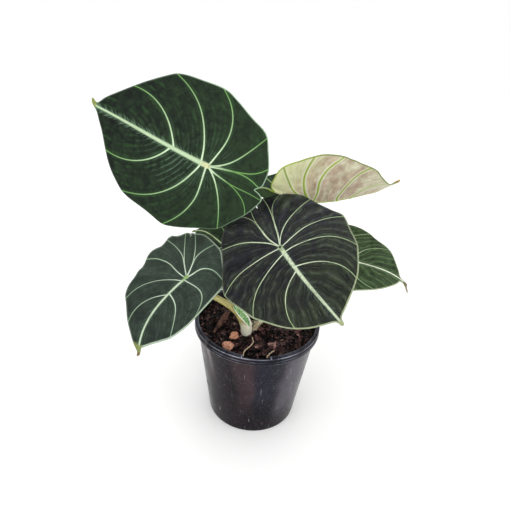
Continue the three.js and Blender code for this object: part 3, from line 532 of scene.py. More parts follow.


# looks of the under skin; blush is the rosy part, lobe the far lobe of the folded blade; cream is a pale tone
# of the ground and also the painted highlight beside the veins
grown = {"pale": "#57664a", "cream": "#75835c", "blush": "#65504a", "blushPale": "#7a6558",
         "blushFrom": 0, "blushTo": 90, "blushTip": 0, "blushMost": 0.35, "line": "#4d5c3c",
         "vein": "#92a373", "midrib": "#9eae80", "rim": "#73845a", "nub": "#757d48",
         "yellow": "#6d7d4a", "yellowMost": 0.2, "lobe": "#57664a", "lobeMost": 0, "lobeRim": "#73845a"}
young = {"pale": "#9f9871", "cream": "#d6d3bb", "blush": "#84675a", "blushPale": "#bfab90",
         "blushFrom": -72, "blushTo": -20, "blushTip": -0.25, "blushMost": 0.9, "line": "#8f8f69",
         "vein": "#8ca240", "midrib": "#9bb04c", "rim": "#6d7c33", "nub": "#a8935a",
         "yellow": "#d6daa4", "yellowMost": 0.85, "lobe": "#35502f", "lobeMost": 0.95,
         "lobeRim": "#b3c48e"}
# looks of the upper skin that most blades share; lineWide, lineReach and relief belong to the fine lines
velvet = {"sheen": "#9fb7a8", "halo": 0.3, "dot": 0, "lit": 0, "waves": 0.5, "waver": 0.4, "wander": 2,
          "relief": 0.8, "backFade": 0, "lineReach": 1.4, "streak": 0.2, "lineWide": 0.9, "bands": 0.12}
# at is the stalk's end in mm; yaw, pitch and roll turn the blade, long runs from there to the tip; wide,
# fold and cup have one value for each half; arch and backArch bend it along, bow, kink and hook sideways;
# edge holds line numbers along the margin with its reach there as a share of the plain outline; veins holds
# the line numbers of the laterals and prongs at veinKnots; faint, rimShown and linesShown say how strongly
# these show; greenFrom, greenTo and patch are in mm; lines, bands, barbs, halo and streak are strengths
# bands is the strength of the painted shade and highlight on the quilting, lit that of the painted light on
# one side
leaves = {
    "upper_left": {
        "at": (-53.5, -12, 281.2), "yaw": 170.2, "pitch": -21.7, "roll": -65.1, "long": 116.1,
        "wide": (1.013, 1.01), "back": 0.979, "arch": 2, "backArch": 8, "fold": (-6.5, -1.6),
        "cup": (-19, -9), "twist": -4.1, "bow": (0.037, -0.032, -0.056), "kink": 0.025, "blunt": 0.03,
        "hook": -4.5,
        "edge": {
            1: [(0, 1), (.4, .97), (1, 1.01), (2, 1), (2.7, .99), (3.3, 1.03), (4, .99), (5, 1),
                (6, 1.03), (7, .97)],
            -1: [(0, 1), (.4, 1.02), (1, 1), (1.5, .99), (2.4, 1.01), (3.3, 1.01), (4, 1), (5, .98),
                 (6, .94), (6.6, .92), (7, .97)]},
        "veins": {
            1: [(.97, 1.02, 1.02, 1), (1.98, 2.06, 2.03, 1.94), (2.74, 2.99, 3.02, 3.04),
                (4.04, 4.06, 4.07, 4.04), (4.25, 5.31, 5.23, 4.93), (4.33, 5.38, 5.92, 5.96)],
            -1: [(1.05, 1.05, 1.03, .98), (1.96, 2.03, 2.05, 1.96), (3, 3.17, 3.12, 2.93),
                 (4.4, 4.27, 4.17, 4.12), (4.62, 5.12, 5.21, 4.99), (4.69, 5.2, 5.71, 6.32)]},
        "nub": 0.9, "slot": "blade_green", "midrib": (2.2, 0.65), "lateral": (0.95, 0.42),
        "faint": {(5, 1): 0.7, (6, 1): 0.65},
        "rimShown": {1: [(0, .2), (3, .1), (5, .5), (6, 1)], -1: [(0, .2), (2, .3), (3, 1), (7, 1)]},
        "linesShown": {1: [(0, .5), (1, .8), (1.3, 1.8), (1.9, 1.3), (2.2, .5)], -1: [(0, .4), (7, .4)]},
        "upper": {"dark": "#0f1612", "green": "#22321f", "glow": "#2d4929", "halo": 0.4,
                  "line": "#465c4b", "lines": 0.8, "vein": "#c9dfba", "veinEnd": "#6f9c58",
                  "midrib": "#a8bd98", "hub": "#cdd0a0", "rim": "#8ba487", "nub": "#7f8a45",
                  "greenFrom": 110, "greenTo": -40, "patch": 8, "barbs": 0.34, "barb": "#7d9f80",
                  "end": "#7f8a45", "waver": 0.3, "wander": 0.6, "backFade": 1.2, "lineReach": 0.62,
                  "streak": 0.5},
        "under": grown},
    "front": {
        "at": (14.8, -45.5, 224.8), "yaw": -59.7, "pitch": 9.8, "roll": 31.2, "long": 101,
        "wide": (1.064, 1.081), "back": 1.245, "arch": -4, "backArch": -5, "fold": (5.8, 5),
        "cup": (-9.6, -.4), "twist": 8, "bow": (-0.051, -0.049, 0.107), "kink": -0.11, "phase": 2,
        "edge": {
            1: [(0, .98), (.15, .96), (1, 1.04), (2, .97), (3.4, 1), (4, .98), (5, 1.05), (6, 1.04),
                (7, 1.07)],
            -1: [(0, .98), (.15, .97), (.85, 1.05), (2, .96), (3.3, 1.04), (3.9, 1.01), (4.7, 1.09),
                 (5.6, 1.01), (7, 1.07)]},
        "veins": {
            1: [(1.14, 1.2, 1.19, 1.13), (1.9, 2.11, 2.15, 1.95), (2.82, 2.97, 2.97, 2.94),
                (4.34, 4.09, 3.94, 3.82), (4.41, 4.98, 5.2, 4.86), (4.48, 5.05, 5.4, 5.72)],
            -1: [(.97, 1.01, 1.01, 1.07), (1.88, 1.9, 1.96, 1.98), (2.81, 2.86, 2.96, 3.01),
                 (4.03, 3.99, 4, 3.89), (4.1, 4.88, 5.36, 5.06), (4.17, 4.95, 5.48, 5.89)]},
        "slot": "blade_charcoal", "midrib": (1.9, 0.8), "lateral": (0.66, 0.3), "rimWide": 0.8,
        "rimShown": {1: [(0, 1), (1.8, 1), (3, .5), (3.4, .15)], -1: [(0, 1), (2.2, .9), (3, .4), (3.5, .1)]},
        "upper": {"dark": "#1c1d21", "green": "#2c3325", "glow": "#2c332c", "halo": 0.1,
                  "line": "#5d6461", "lines": 0.32, "vein": "#d9e6c8", "veinEnd": "#9fb585",
                  "midrib": "#bccaab", "hub": "#b3c79c", "rim": "#97a281", "nub": "#a3ad82",
                  "sheen": "#a8a8b4", "greenFrom": 0, "greenTo": 85, "patch": 14, "bands": 0.6,
                  "barbs": 0.35, "barb": "#55655a", "dot": 0.9, "end": "#8f9468", "lineWide": 0.8,
                  "lit": 0.95, "waver": 0.35, "wander": 2.2, "relief": 2.4, "streak": 0},
        "under": grown},
    "lower_left": {
        "at": (-67.1, -43.9, 185.4), "yaw": -110.2, "pitch": 14.4, "roll": -15.8, "long": 82.1,
        "wide": (1.063, 0.99), "back": 1.359, "arch": 28, "backArch": 4, "fold": (16.6, -21.1),
        "cup": (46.9, 9.3), "twist": -5.1, "bow": (-0.211, -0.203, -0.126), "kink": 0.447,
        "blunt": -0.12, "phase": 4,
        "edge": {
            1: [(0, 1.05), (.15, .97), (1, 1.05), (2, 1.06), (2.35, 1.03), (3, .89), (3.6, .97),
                (5, 1.05), (6, 1.02), (7, 1.1)],
            -1: [(0, 1.05), (.15, 1.07), (.7, 1), (1.4, .94), (2.4, .98), (2.7, .96), (3, .99),
                 (3.6, 1.14), (4, .95), (4.7, 1.03), (5, .97), (6, 1), (7, 1.1)]},
        "veins": {
            1: [(1.06, 1.14, 1.21, 1.38), (2.02, 2.19, 2.2, 2.18), (3.45, 3.73, 3.58, 3.18),
                (3.9, 4.24, 4.12, 3.84), (4.34, 4.76, 4.67, 4.5), (4.41, 4.87, 5.53, 5.97)],
            -1: [(.99, 1.03, .98, .9), (1.92, 2.1, 2, 1.81), (2.74, 3.46, 3.58, 3.55),
                 (3.58, 4.12, 4.1, 3.98), (4.42, 4.77, 4.61, 4.41), (4.49, 4.91, 5.52, 5.79)]},
        "faint": {(4, 1): 0, (4, -1): 0}, "nubShare": 0.9, "slot": "blade_teal", "midrib": (1.35, 0.75),
        "lateral": (0.6, 0.38), "rimWide": 1.1,
        "rimShown": {1: [(0, 1), (3, 1), (5, .7)], -1: [(0, .5), (1, .2), (4, .2), (5, .6)]},
        "upper": {"dark": "#202923", "green": "#323e34", "glow": "#3a4a3f", "line": "#4c5a50",
                  "lines": 0.22, "vein": "#d0dfca", "veinEnd": "#8ca887", "midrib": "#b3c4a6",
                  "hub": "#98b877", "rim": "#9fae9b", "nub": "#7d8650", "sheen": "#9fc0b4",
                  "greenFrom": 65, "greenTo": -35, "patch": 12, "bands": 0.18, "barbs": 0.3,
                  "barb": "#56705f", "end": "#6b5534", "lineWide": 1.1, "lit": 0.1},
        "under": grown},
    "back_right": {
        "at": (41.8, 38.5, 234.4), "yaw": 24.8, "pitch": 13.0, "roll": -20.7, "long": 118.3,
        "wide": (0.98, 1.0), "back": 1.07, "arch": -34.9, "backArch": -13.5, "fold": (43, 40),
        "cup": (3, 16), "twist": 15.5, "bow": (0.49, -0.28, -0.19), "kink": 0.36, "blunt": -0.14,
        "lobeShift": (-8, 4, -11.5), "tipFold": (-73, -13), "tail": 0.015, "phase": 1,
        "edge": {
            1: [(0, .98), (.3, 1.06), (1, .98), (1.7, .97), (3, .85), (4, .96), (5, 1.12), (5.7, 1.12),
                (7, .98)],
            -1: [(0, .98), (1, .97), (1.7, .99), (2.1, 1.02), (2.7, 1), (3, .97), (3.6, 1.05), (4, .99),
                 (5, 1.05), (6, .99), (7, .98)]},
        "veins": {
            -1: [(.45, .72, .92, 1.1), (.87, 1.36, 1.8, 2.19), (2.04, 3.1, 3.31, 3.2),
                 (3.92, 4.11, 4.13, 3.89), (5.12, 5.06, 4.93, 4.94), (5.2, 5.17, 5.6, 5.97)]},
        "nubShare": 0.92, "nub": 0.9, "slot": "blade_underside", "midrib": (1.5, 0.8),
        "lateral": (1.0, 0.8), "faint": {(6, -1): 0, (5, -1): 0.7},
        "upper": {"dark": "#18271d", "green": "#27421f", "glow": "#2f5229", "line": "#3d5f38",
                  "lines": 0.4, "vein": "#dbe8c0", "veinEnd": "#84a568", "midrib": "#b9cb9c",
                  "hub": "#aab878", "rim": "#97a876", "nub": "#9c8a50", "greenFrom": -20, "greenTo": 60,
                  "patch": 13, "barbs": 0.4, "barb": "#5c8159", "end": "#8a6a3a", "waves": 1},
        "under": young},
    "lower_right": {
        "at": (50.1, 14.9, 189.4), "yaw": -23.8, "pitch": -3.8, "roll": 13.2, "long": 93.3,
        "wide": (1, 1.012), "back": 0.8, "arch": 16, "backArch": 8, "fold": (2.2, 2.8),
        "cup": (-11.8, -4.7), "twist": 7, "bow": (0.066, -0.121, 0.534), "tail": 0.12, "hang": 58,
        "slim": 0.6, "phase": 3,
        "edge": {
            1: [(0, 1), (.3, .98), (1, 1.01), (1.8, .95), (2.8, 1.05), (4, 1.02), (5, 1), (7, 1)],
            -1: [(0, 1), (.8, 1.06), (1.7, .94), (2.2, .92), (3.3, .98), (4.3, 1), (7, 1)]},
        "veins": {1: [(.72, .91, 1.06, 1.12)], -1: [(.8, .89, 1, 1.14)]},
        "nub": 0.15, "nubShare": 0.97, "slot": "blade_mid_green", "midrib": (1.1, 0.55),
        "lateral": (0.6, 0.35),
        "upper": {"dark": "#202d1b", "green": "#3b4d31", "glow": "#4f6646", "halo": 0.15,
                  "line": "#56694b", "lines": 0.6, "vein": "#d3e0bf", "veinEnd": "#93ad7f",
                  "midrib": "#f0f5e0", "hub": "#d8e0b8", "rim": "#97a081", "nub": "#75734e",
                  "greenFrom": -30, "greenTo": 50, "patch": 9, "bands": 0.85, "barbs": 0.45,
                  "barb": "#6a8560", "end": "#8a7b66", "lineWide": 1.1, "lit": 0.1, "waver": 0.6,
                  "wander": 2.6, "relief": 1.6, "streak": 0.5},
        "under": grown},
    "behind": {
        "at": (-22.7, 21, 175.8), "yaw": 155.8, "pitch": -15.7, "roll": -27.4, "long": 61.7,
        "wide": (1, 1), "back": 0.8, "arch": 17, "backArch": 8, "fold": (4, 4), "cup": (-8, -8),
        "bow": (0.069, -0.145, -0.785), "phase": 5,
        "slot": "blade_deep_green", "midrib": (1.0, 0.5), "lateral": (0.55, 0.35),
        "upper": {"dark": "#1b261d", "green": "#29381f", "glow": "#2b4a2a", "line": "#35523a",
                  "lines": 0.4, "vein": "#cfe0b2", "veinEnd": "#6d9055", "midrib": "#eaf6c8",
                  "hub": "#bcc884", "rim": "#7c936a", "nub": "#8f9750", "greenFrom": -20, "greenTo": 40,
                  "patch": 12, "barbs": 0.4, "barb": "#587a58", "end": "#7f8a45", "waves": 1},
        "under": grown},
}
for name, spec in leaves.items():
    leaf = {**plain, **spec}
    tip = {"nubFrom": leaf["nubShare"] * leaf["long"], "endFrom": 0.985 * leaf["long"]}
    skins = [velvetUpper(f"velvet upper skin {name}", {**velvet, **leaf["upper"], **tip}),
             paleUnderside(f"waxy under skin {name}", {**leaf["under"], **tip})]
    piece = newPiece(f"leaf_{name}", makeBlade(f"leaf_{name}", leaf), skins, leaf["slot"], f"blade_{name}")
    print("blade made:", name, len(piece.data.polygons), "faces")


# stalks and roots follow a path through points in mm
def smoothPath(points, count, tension=0.5):  # evenly spaced points of the smooth path through those given
    p = np.array(points, float)
    p = np.vstack([2 * p[0] - p[1], p, 2 * p[-1] - p[-2]])
    fine = []
    for i in range(1, len(p) - 2):
        u = np.linspace(0, 1, 60, endpoint=False)[:, None]
        a, b = tension * (p[i + 1] - p[i - 1]), tension * (p[i + 2] - p[i])
        fine.append((2 * u ** 3 - 3 * u * u + 1) * p[i] + (u ** 3 - 2 * u * u + u) * a
                    + (3 * u * u - 2 * u ** 3) * p[i + 1] + (u ** 3 - u * u) * b)
    fine = np.vstack([*fine, p[-2:-1]])
    run = np.concatenate([[0], np.cumsum(np.linalg.norm(np.diff(fine, axis=0), axis=1))])
    wanted = np.linspace(0, run[-1], count)
    return np.stack([np.interp(wanted, run, fine[:, c]) for c in range(3)], 1), run[-1]


def stalkTree():  # a tube along a line of points, each as wide as its own value says
    tree = bpy.data.node_groups.new("round stalk", "GeometryNodeTree")
    kinds = {"Geometry": "NodeSocketGeometry", "Sides": "NodeSocketInt", "Material": "NodeSocketMaterial"}
    for label, kind in kinds.items():
        tree.interface.new_socket(label, in_out="INPUT", socket_type=kind)
    tree.interface.new_socket("Geometry", in_out="OUTPUT", socket_type="NodeSocketGeometry")
    given = add(tree, "NodeGroupInput", out=None).outputs
    circle = add(tree, "GeometryNodeCurvePrimitiveCircle", {"Resolution": given["Sides"], "Radius": 1.0})
    ring = add(tree, "GeometryNodeStoreNamedAttribute", {"Geometry": circle, "Name": "ring",
                                                         "Value": add(tree, "GeometryNodeInputPosition")},
               data_type="FLOAT_VECTOR", domain="POINT")
    wide = add(tree, "GeometryNodeInputNamedAttribute", {"Name": "wide"}, data_type="FLOAT")
    line = add(tree, "GeometryNodeMeshToCurve", {"Mesh": given["Geometry"]})
    tube = add(tree, "GeometryNodeCurveToMesh", {"Curve": line, "Profile Curve": ring, "Scale": wide,
                                                 "Fill Caps": True})
    smooth = add(tree, "GeometryNodeSetShadeSmooth", {"Geometry": tube})
    whole = add(tree, "GeometryNodeRealizeInstances", {"Geometry": smooth})
    painted = add(tree, "GeometryNodeSetMaterial", {"Geometry": whole, "Material": given["Material"]})
    add(tree, "NodeGroupOutput", {0: painted}, out=None)
    return tree


def grow(name, source, tree, values):
    # runs a Geometry Nodes tree on a mesh and keeps the plain mesh that it makes
    base = bpy.data.objects.new(name + " base", source)
    bpy.context.scene.collection.objects.link(base)
    modifier = base.modifiers.new("grow", "NODES")
    modifier.node_group = tree
    for item in tree.interface.items_tree:
        if item.in_out == "INPUT" and item.name in values:
            modifier[item.identifier] = values[item.name]
    bpy.context.view_layer.update()
    mesh = bpy.data.meshes.new_from_object(base.evaluated_get(bpy.context.evaluated_depsgraph_get()))
    mesh.name = name
    base.modifiers.remove(modifier)
    bpy.data.objects.remove(base)
    return mesh


roundStalk = stalkTree()


def stalk(name, shape, material, slot, node):
    # shape has the points passed, the radii at even steps, and how many rows and sides the tube gets
    rows, radii = shape["rows"], shape["radii"]
    path, length = smoothPath(shape["path"], rows)
    share = np.linspace(0, 1, rows)
    source = bpy.data.meshes.new(name + " line")
    source.from_pydata((path * mm).tolist(), [(i, i + 1) for i in range(rows - 1)], [])
    wide = np.interp(share, np.linspace(0, 1, len(radii)), radii) * mm
    for key, values in (("wide", wide), ("along", share * length)):
        held = source.attributes.new(key, "FLOAT", "POINT")
        held.data.foreach_set("value", values.astype(np.float32))
    mesh = grow(name, source, roundStalk, {"Sides": shape["sides"], "Material": material})
    mesh.materials.clear()
    newPiece(name, mesh, [material], slot, node)


def stalkSkin(name, look):
    # skin of a leaf stalk: smooth and moist with fine fibres along it, cream at its foot where it wraps
    # the crown, olive above, speckled a little; ring is the place round the stalk, along the way up in mm
    material, tree = newMaterial(name)
    look = linearLook(look)
    along = add(tree, "ShaderNodeAttribute", out=2, attribute_name="along")
    ring = add(tree, "ShaderNodeAttribute", out=1, attribute_name="ring")
    ring = add(tree, "ShaderNodeSeparateXYZ", {0: ring}, out=None).outputs
    slow = add(tree, "ShaderNodeMath", {0: along, 1: 0.02}, operation="MULTIPLY")
    place = add(tree, "ShaderNodeCombineXYZ", {0: ring["X"], 1: ring["Y"], 2: slow})
    stripes = add(tree, "ShaderNodeTexNoise", {"Vector": place, "Scale": 7.0, "Detail": 3.0})
    spots = add(tree, "ShaderNodeTexNoise", {"Vector": add(tree, "ShaderNodeTexCoord", out=3),
                                             "Scale": 520.0, "Detail": 2.0})
    wander = add(tree, "ShaderNodeMath", {0: stripes, 1: 14.0, 2: along}, operation="MULTIPLY_ADD")
    foot = add(tree, "ShaderNodeMapRange", {0: wander, 1: look["creamTo"] + 3, 2: look["creamTo"] + 13,
                                            3: 0.0, 4: 1.0}, **soft)
    stripe = add(tree, "ShaderNodeMapRange", {0: stripes, 1: 0.35, 2: 0.65, 3: 0.0, 4: 1.0})
    olive = add(tree, "ShaderNodeMix", {0: stripe, 6: look["dark"], 7: look["light"]}, **rgba)
    top = add(tree, "ShaderNodeMapRange", {0: along, 1: look["greenFrom"], 2: look["greenFrom"] + 40,
                                           3: 0.0, 4: 0.75})
    olive = add(tree, "ShaderNodeMix", {0: top, 6: olive, 7: look["green"]}, **rgba)
    cream = add(tree, "ShaderNodeMix", {0: stripe, 6: look["cream"], 7: look["creamDark"]}, **rgba)
    colour = add(tree, "ShaderNodeMix", {0: foot, 6: cream, 7: olive}, **rgba)
    spot = add(tree, "ShaderNodeMapRange", {0: spots, 1: 0.58, 2: 0.7, 3: 0.0, 4: 0.35})
    colour = add(tree, "ShaderNodeMix", {0: spot, 6: colour, 7: look["spot"]}, **rgba)
    roughness = add(tree, "ShaderNodeMapRange", {0: spots, 1: 0.3, 2: 0.7, 3: 0.34, 4: 0.5})
    finishMaterial(tree, colour, roughness, {"Subsurface Weight": 0.1, "Subsurface Scale": 2 * mm}, stripes,
                   0.25)
    return material


# what a stalk has where its own values don't say otherwise; approach, creamTo and greenFrom are in mm
stalkPlain = {
    "rows": 70, "sides": 28, "approach": 10, "creamTo": 8, "greenFrom": 70, "cream": "#fbf8e8",
    "creamDark": "#dcdcc0", "light": "#c3b777", "dark": "#857f3e", "green": "#76894f", "spot": "#8a8558",
}
stalks = {  # foot and the points passed; the last two points are worked out from the blade
    "upper_left": {"path": [[-11, -6, 104], [-13, -12, 135], [-18, -15, 170], [-27, -4, 207], [-39, 10, 240]],
                   "approach": 16, "radii": [4, 3.6, 3, 2.6, 2.5, 2.4, 2.4]},
    "front": {"path": [[4, 0, 104], [6, -5, 128], [8, -21, 165]], "radii": [3.4, 3, 2.6, 2.4, 2.3]},
    "lower_left": {"path": [[-10.2, -15.8, 104], [-12, -18.8, 122], [-23.5, -25.5, 142], [-42, -31, 158]],
                   "approach": 8, "creamTo": 21,
                   "radii": [5, 5.8, 6, 5.9, 5, 3.9, 3.4, 3.2, 3.1, 3, 2.9, 2.8, 2.7, 2.6, 2.5, 2.4, 2.4]},
    "back_right": {"path": [[5, 5, 104], [6, 5, 140], [6, 6, 170], [10, 12, 192], [27, 24, 209]],
                   "approach": 8, "radii": [3.6, 3, 2.6, 2.4, 2.3, 2.3]},
    "lower_right": {"path": [[9, 0, 104], [14, -2, 130], [30, 3, 160]], "radii": [3.6, 3, 2.5, 2.3, 2.2]},
    "behind": {"path": [[-12, 5, 104], [-17, 8, 130], [-22, 18, 155]], "approach": 8,
               "radii": [3, 2.5, 2.1, 1.9, 1.9]},
}
for name, spec in stalks.items():
    leaf, spec = {**plain, **leaves[name]}, {**stalkPlain, **spec}
    hub = sum(bladeNormal(leaf, np.array([0.001]), np.array([0.0]), side)[0] for side in (1, -1))
    up = leafPose(leaf) @ (hub / np.linalg.norm(hub))
    top = np.array(leaf["at"], float)
    path = [*spec["path"], top - up * spec["approach"], top - up * 0.2]
    radii = [*spec["radii"][:-1], spec["radii"][-1] * 1.12]  # a little wider at the blade
    skin = stalkSkin(f"leaf stalk skin {name}", spec)
    stalk(f"stalk_{name}", {**spec, "path": path, "radii": radii}, skin, "petiole", f"petiole_{name}")
print("stalks made")

rootSkin, tree = newMaterial("dry root skin")  # papery tan skin, wrinkled across
spot = add(tree, "ShaderNodeTexCoord", out=3)
coat = add(tree, "ShaderNodeTexNoise", {"Vector": spot, "Scale": 700.0, "Detail": 3.0})
shade = add(tree, "ShaderNodeMix", {0: coat, 6: linear("#a5886a"), 7: linear("#f3dfc4")}, **rgba)
finishMaterial(tree, shade, 0.7, {}, coat, 0.2)
roots = {
    "surface_root_a": [[-3.9, -23, 107.5], [-3.2, -30, 110.4], [-3, -37, 109.8], [-9.5, -46.5, 109.6],
                       [-11, -55.5, 109]],
    "surface_root_b": [[11.5, -54, 108.6], [14.5, -49, 109.7], [18.5, -44, 109.2]],
}
rootShape = {"rows": 60, "sides": 10, "bends": 14, "sway": 0.25, "radius": 0.42, "more": 0.16, "swells": 8}
for name, path in roots.items():
    wobble = np.random.default_rng(len(path))
    bent = smoothPath(path, rootShape["bends"])[0]
    bent[1:-1] += wobble.normal(0, rootShape["sway"], (rootShape["bends"] - 2, 3))
    radii = rootShape["radius"] + rootShape["more"] * wobble.random(rootShape["swells"])
    stalk(f"{name}_fine", {**rootShape, "path": bent, "radii": radii}, rootSkin, "surface_root", name)
print("roots made")


# the crown and the two sheaths round the stalks' feet
def cleanCopy(node):  # a welded copy of a CAD node's mesh
    work = bmesh.new()
    work.from_mesh(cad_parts[node].data)
    bmesh.ops.remove_doubles(work, verts=work.verts, dist=1e-6)
    return work


def roughen(work, cuts, amount, scale, seed):  # pushes the surface in and out; amount and scale in mm
    bmesh.ops.triangulate(work, faces=work.faces)
    bmesh.ops.subdivide_edges(work, edges=work.edges, cuts=cuts, use_grid_fill=True)
    work.normal_update()
    shift = Vector((seed * 3.1, seed * 1.7, seed * 0.9))
    moves = [v.normal * amount * mm * noise.fractal(v.co / (scale * mm) + shift, 0.6, 2.1, 4)
             for v in work.verts]
    for v, move in zip(work.verts, moves):
        v.co += move


crownSkin, tree = newMaterial("crown tissue")  # smooth moist tissue, cream with brown leaf scars round it
spot = add(tree, "ShaderNodeTexCoord", out=3)
rings = add(tree, "ShaderNodeTexWave", {"Vector": spot, "Scale": 90.0, "Distortion": 3.0, "Detail": 2.0},
            bands_direction="Z")
mottle = add(tree, "ShaderNodeTexNoise", {"Vector": spot, "Scale": 260.0, "Detail": 4.0})
scar = add(tree, "ShaderNodeMapRange", {0: rings, 1: 0.8, 2: 0.98, 3: 0.0, 4: 0.5})
shade = add(tree, "ShaderNodeMix", {0: mottle, 6: linear("#a89f6c"), 7: linear("#e2dcbc")}, **rgba)
shade = add(tree, "ShaderNodeMix", {0: scar, 6: shade, 7: linear("#8a6a45")}, **rgba)
finishMaterial(tree, shade, 0.45, {"Subsurface Weight": 0.1, "Subsurface Scale": 2 * mm}, mottle, 0.4)
crownShape = {  # eggs: middle, width and height from there
    "eggs": [((-3, -2, 98), 15, 11), ((3, -7, 100), 7, 8), ((-10.5, -18, 98), 9, 9)],
    "voxel": 0.7, "smoothing": 6,
}
work = bmesh.new()
for centre, wide, tall in crownShape["eggs"]:
    place = Matrix.Translation(Vector(centre) * mm) @ Matrix.Diagonal((wide * mm, wide * mm, tall * mm, 1))
    bmesh.ops.create_uvsphere(work, u_segments=40, v_segments=24, radius=1, matrix=place)
mesh = bpy.data.meshes.new("crown_base")
work.to_mesh(mesh)
work.free()
base = bpy.data.objects.new("crown eggs", mesh)
bpy.context.scene.collection.objects.link(base)
merged = base.modifiers.new("merge", "REMESH")
merged.mode, merged.voxel_size, merged.use_smooth_shade = "VOXEL", crownShape["voxel"] * mm, True
smoothed = base.modifiers.new("smooth", "SMOOTH")
smoothed.iterations = crownShape["smoothing"]
bpy.context.view_layer.update()
mesh = bpy.data.meshes.new_from_object(base.evaluated_get(bpy.context.evaluated_depsgraph_get()))
bpy.data.objects.remove(base)
newPiece("crown_base", mesh, [crownSkin], "crown", "crown")


def sheathSkin(name, inner, innerLight, edge):
    # thin leaf sheath: mottled flesh with clear, papery pale margins
    material, tree = newMaterial(name)
    lap = add(tree, "ShaderNodeAttribute", out=1, attribute_name="lap")
    lap = add(tree, "ShaderNodeSeparateXYZ", {0: lap}, out=None).outputs
    mottle = add(tree, "ShaderNodeTexNoise", {"Vector": add(tree, "ShaderNodeTexCoord", out=3),
                                              "Scale": 330.0, "Detail": 3.0, "Distortion": 1.0})
    patch = add(tree, "ShaderNodeMapRange", {0: mottle, 1: 0.42, 2: 0.6, 3: 0.0, 4: 1.0})
    flesh = add(tree, "ShaderNodeMix", {0: patch, 6: linear(inner), 7: linear(innerLight)}, **rgba)
    aside = add(tree, "ShaderNodeMath", {0: lap["X"]}, operation="ABSOLUTE")
    margin = add(tree, "ShaderNodeMapRange", {0: aside, 1: 0.66, 2: 0.84, 3: 0.0, 4: 1.0})
    colour = add(tree, "ShaderNodeMix", {0: margin, 6: flesh, 7: linear(edge)}, **rgba)
    finishMaterial(tree, colour, 0.45, {"Subsurface Weight": 0.15, "Subsurface Scale": 1 * mm}, mottle,
                   0.15)
    return material


def boat(name, shape, material, slot, node):
    # long open sheath: a shallow boat along the path with its hollow to the front
    rows, cols, widest = shape["rows"], shape["cols"], shape["widest"]
    line = smoothPath(shape["path"], rows)[0]
    along = np.gradient(line, axis=0)
    along /= np.linalg.norm(along, axis=1, keepdims=True)
    side = np.cross(along, shape["facing"])
    side /= np.linalg.norm(side, axis=1, keepdims=True)
    out = np.cross(side, along)
    share = np.linspace(0, 1, rows)
    half = 0.5 + widest * np.sin(np.pi * (0.04 + 0.92 * share)) ** 0.8
    v = np.linspace(-1, 1, cols)
    points, lap = [], []
    for skin in (0, 1):
        hollow = shape["deep"] * (v[None] ** 2 - 1) * (half / widest)[:, None]
        hollow = hollow - skin * shape["thick"] * (1 - 0.5 * v[None] ** 4)
        curl = shape["curl"] * np.sin(share * shape["curls"])[:, None] * np.abs(v[None]) ** 3
        grid = (line[:, None] + side[:, None] * (v[None, :, None] * half[:, None, None])
                + out[:, None] * (hollow + curl)[:, :, None])
        points.append(grid.reshape(-1, 3))
        whole = np.ones((rows, cols))
        lap.append(np.stack([whole * v, whole * share[:, None], whole * skin], 2).reshape(-1, 3))
    at = np.arange(rows * cols).reshape(rows, cols)
    low = at + rows * cols
    faces = [*np.stack([at[:-1, :-1], at[:-1, 1:], at[1:, 1:], at[1:, :-1]], 2).reshape(-1, 4).tolist(),
             *np.stack([low[:-1, :-1], low[1:, :-1], low[1:, 1:], low[:-1, 1:]], 2).reshape(-1, 4).tolist()]
    for i in range(rows - 1):
        faces += [[at[i, 0], at[i + 1, 0], low[i + 1, 0], low[i, 0]],
                  [at[i, -1], low[i, -1], low[i + 1, -1], at[i + 1, -1]]]
    for j in range(cols - 1):
        faces += [[at[0, j], low[0, j], low[0, j + 1], at[0, j + 1]],
                  [at[-1, j], at[-1, j + 1], low[-1, j + 1], low[-1, j]]]
    mesh = meshFrom(name, np.vstack(points), faces, fields={"lap": np.vstack(lap)})
    newPiece(name, mesh, [material], slot, node)


openSheath = {"path": [[-7.2, -26.5, 123.5], [-10, -28, 131], [-15.6, -29.3, 139.5], [-23.5, -30.2, 148]],
              "widest": 3.1, "deep": 1.3, "thick": 0.9, "curl": 0.25, "curls": 23,
              "facing": [0.25, -0.8, 0.55], "rows": 48, "cols": 17}
sheathScale = {"path": [[-3, -13.5, 106], [-1.5, -13.5, 112.5], [2, -13.5, 119], [6, -13, 123.5]],
               "radii": [2.4, 2.6, 2.8, 2.8, 2.4, 0.8], "rows": 30, "sides": 20}
greenSheathSkin = sheathSkin("green sheath flesh", "#3f7638", "#9fbf83", "#f4f7ec")
boat("sheath_open_fine", openSheath, greenSheathSkin, "sheath_green", "sheath_open")
drySheathSkin = sheathSkin("dry sheath paper", "#8f8265", "#cfc3a8", "#efe6da")
stalk("sheath_scale_fine", sheathScale, drySheathSkin, "sheath_dry", "sheath_scale")
print("crown and sheaths made")


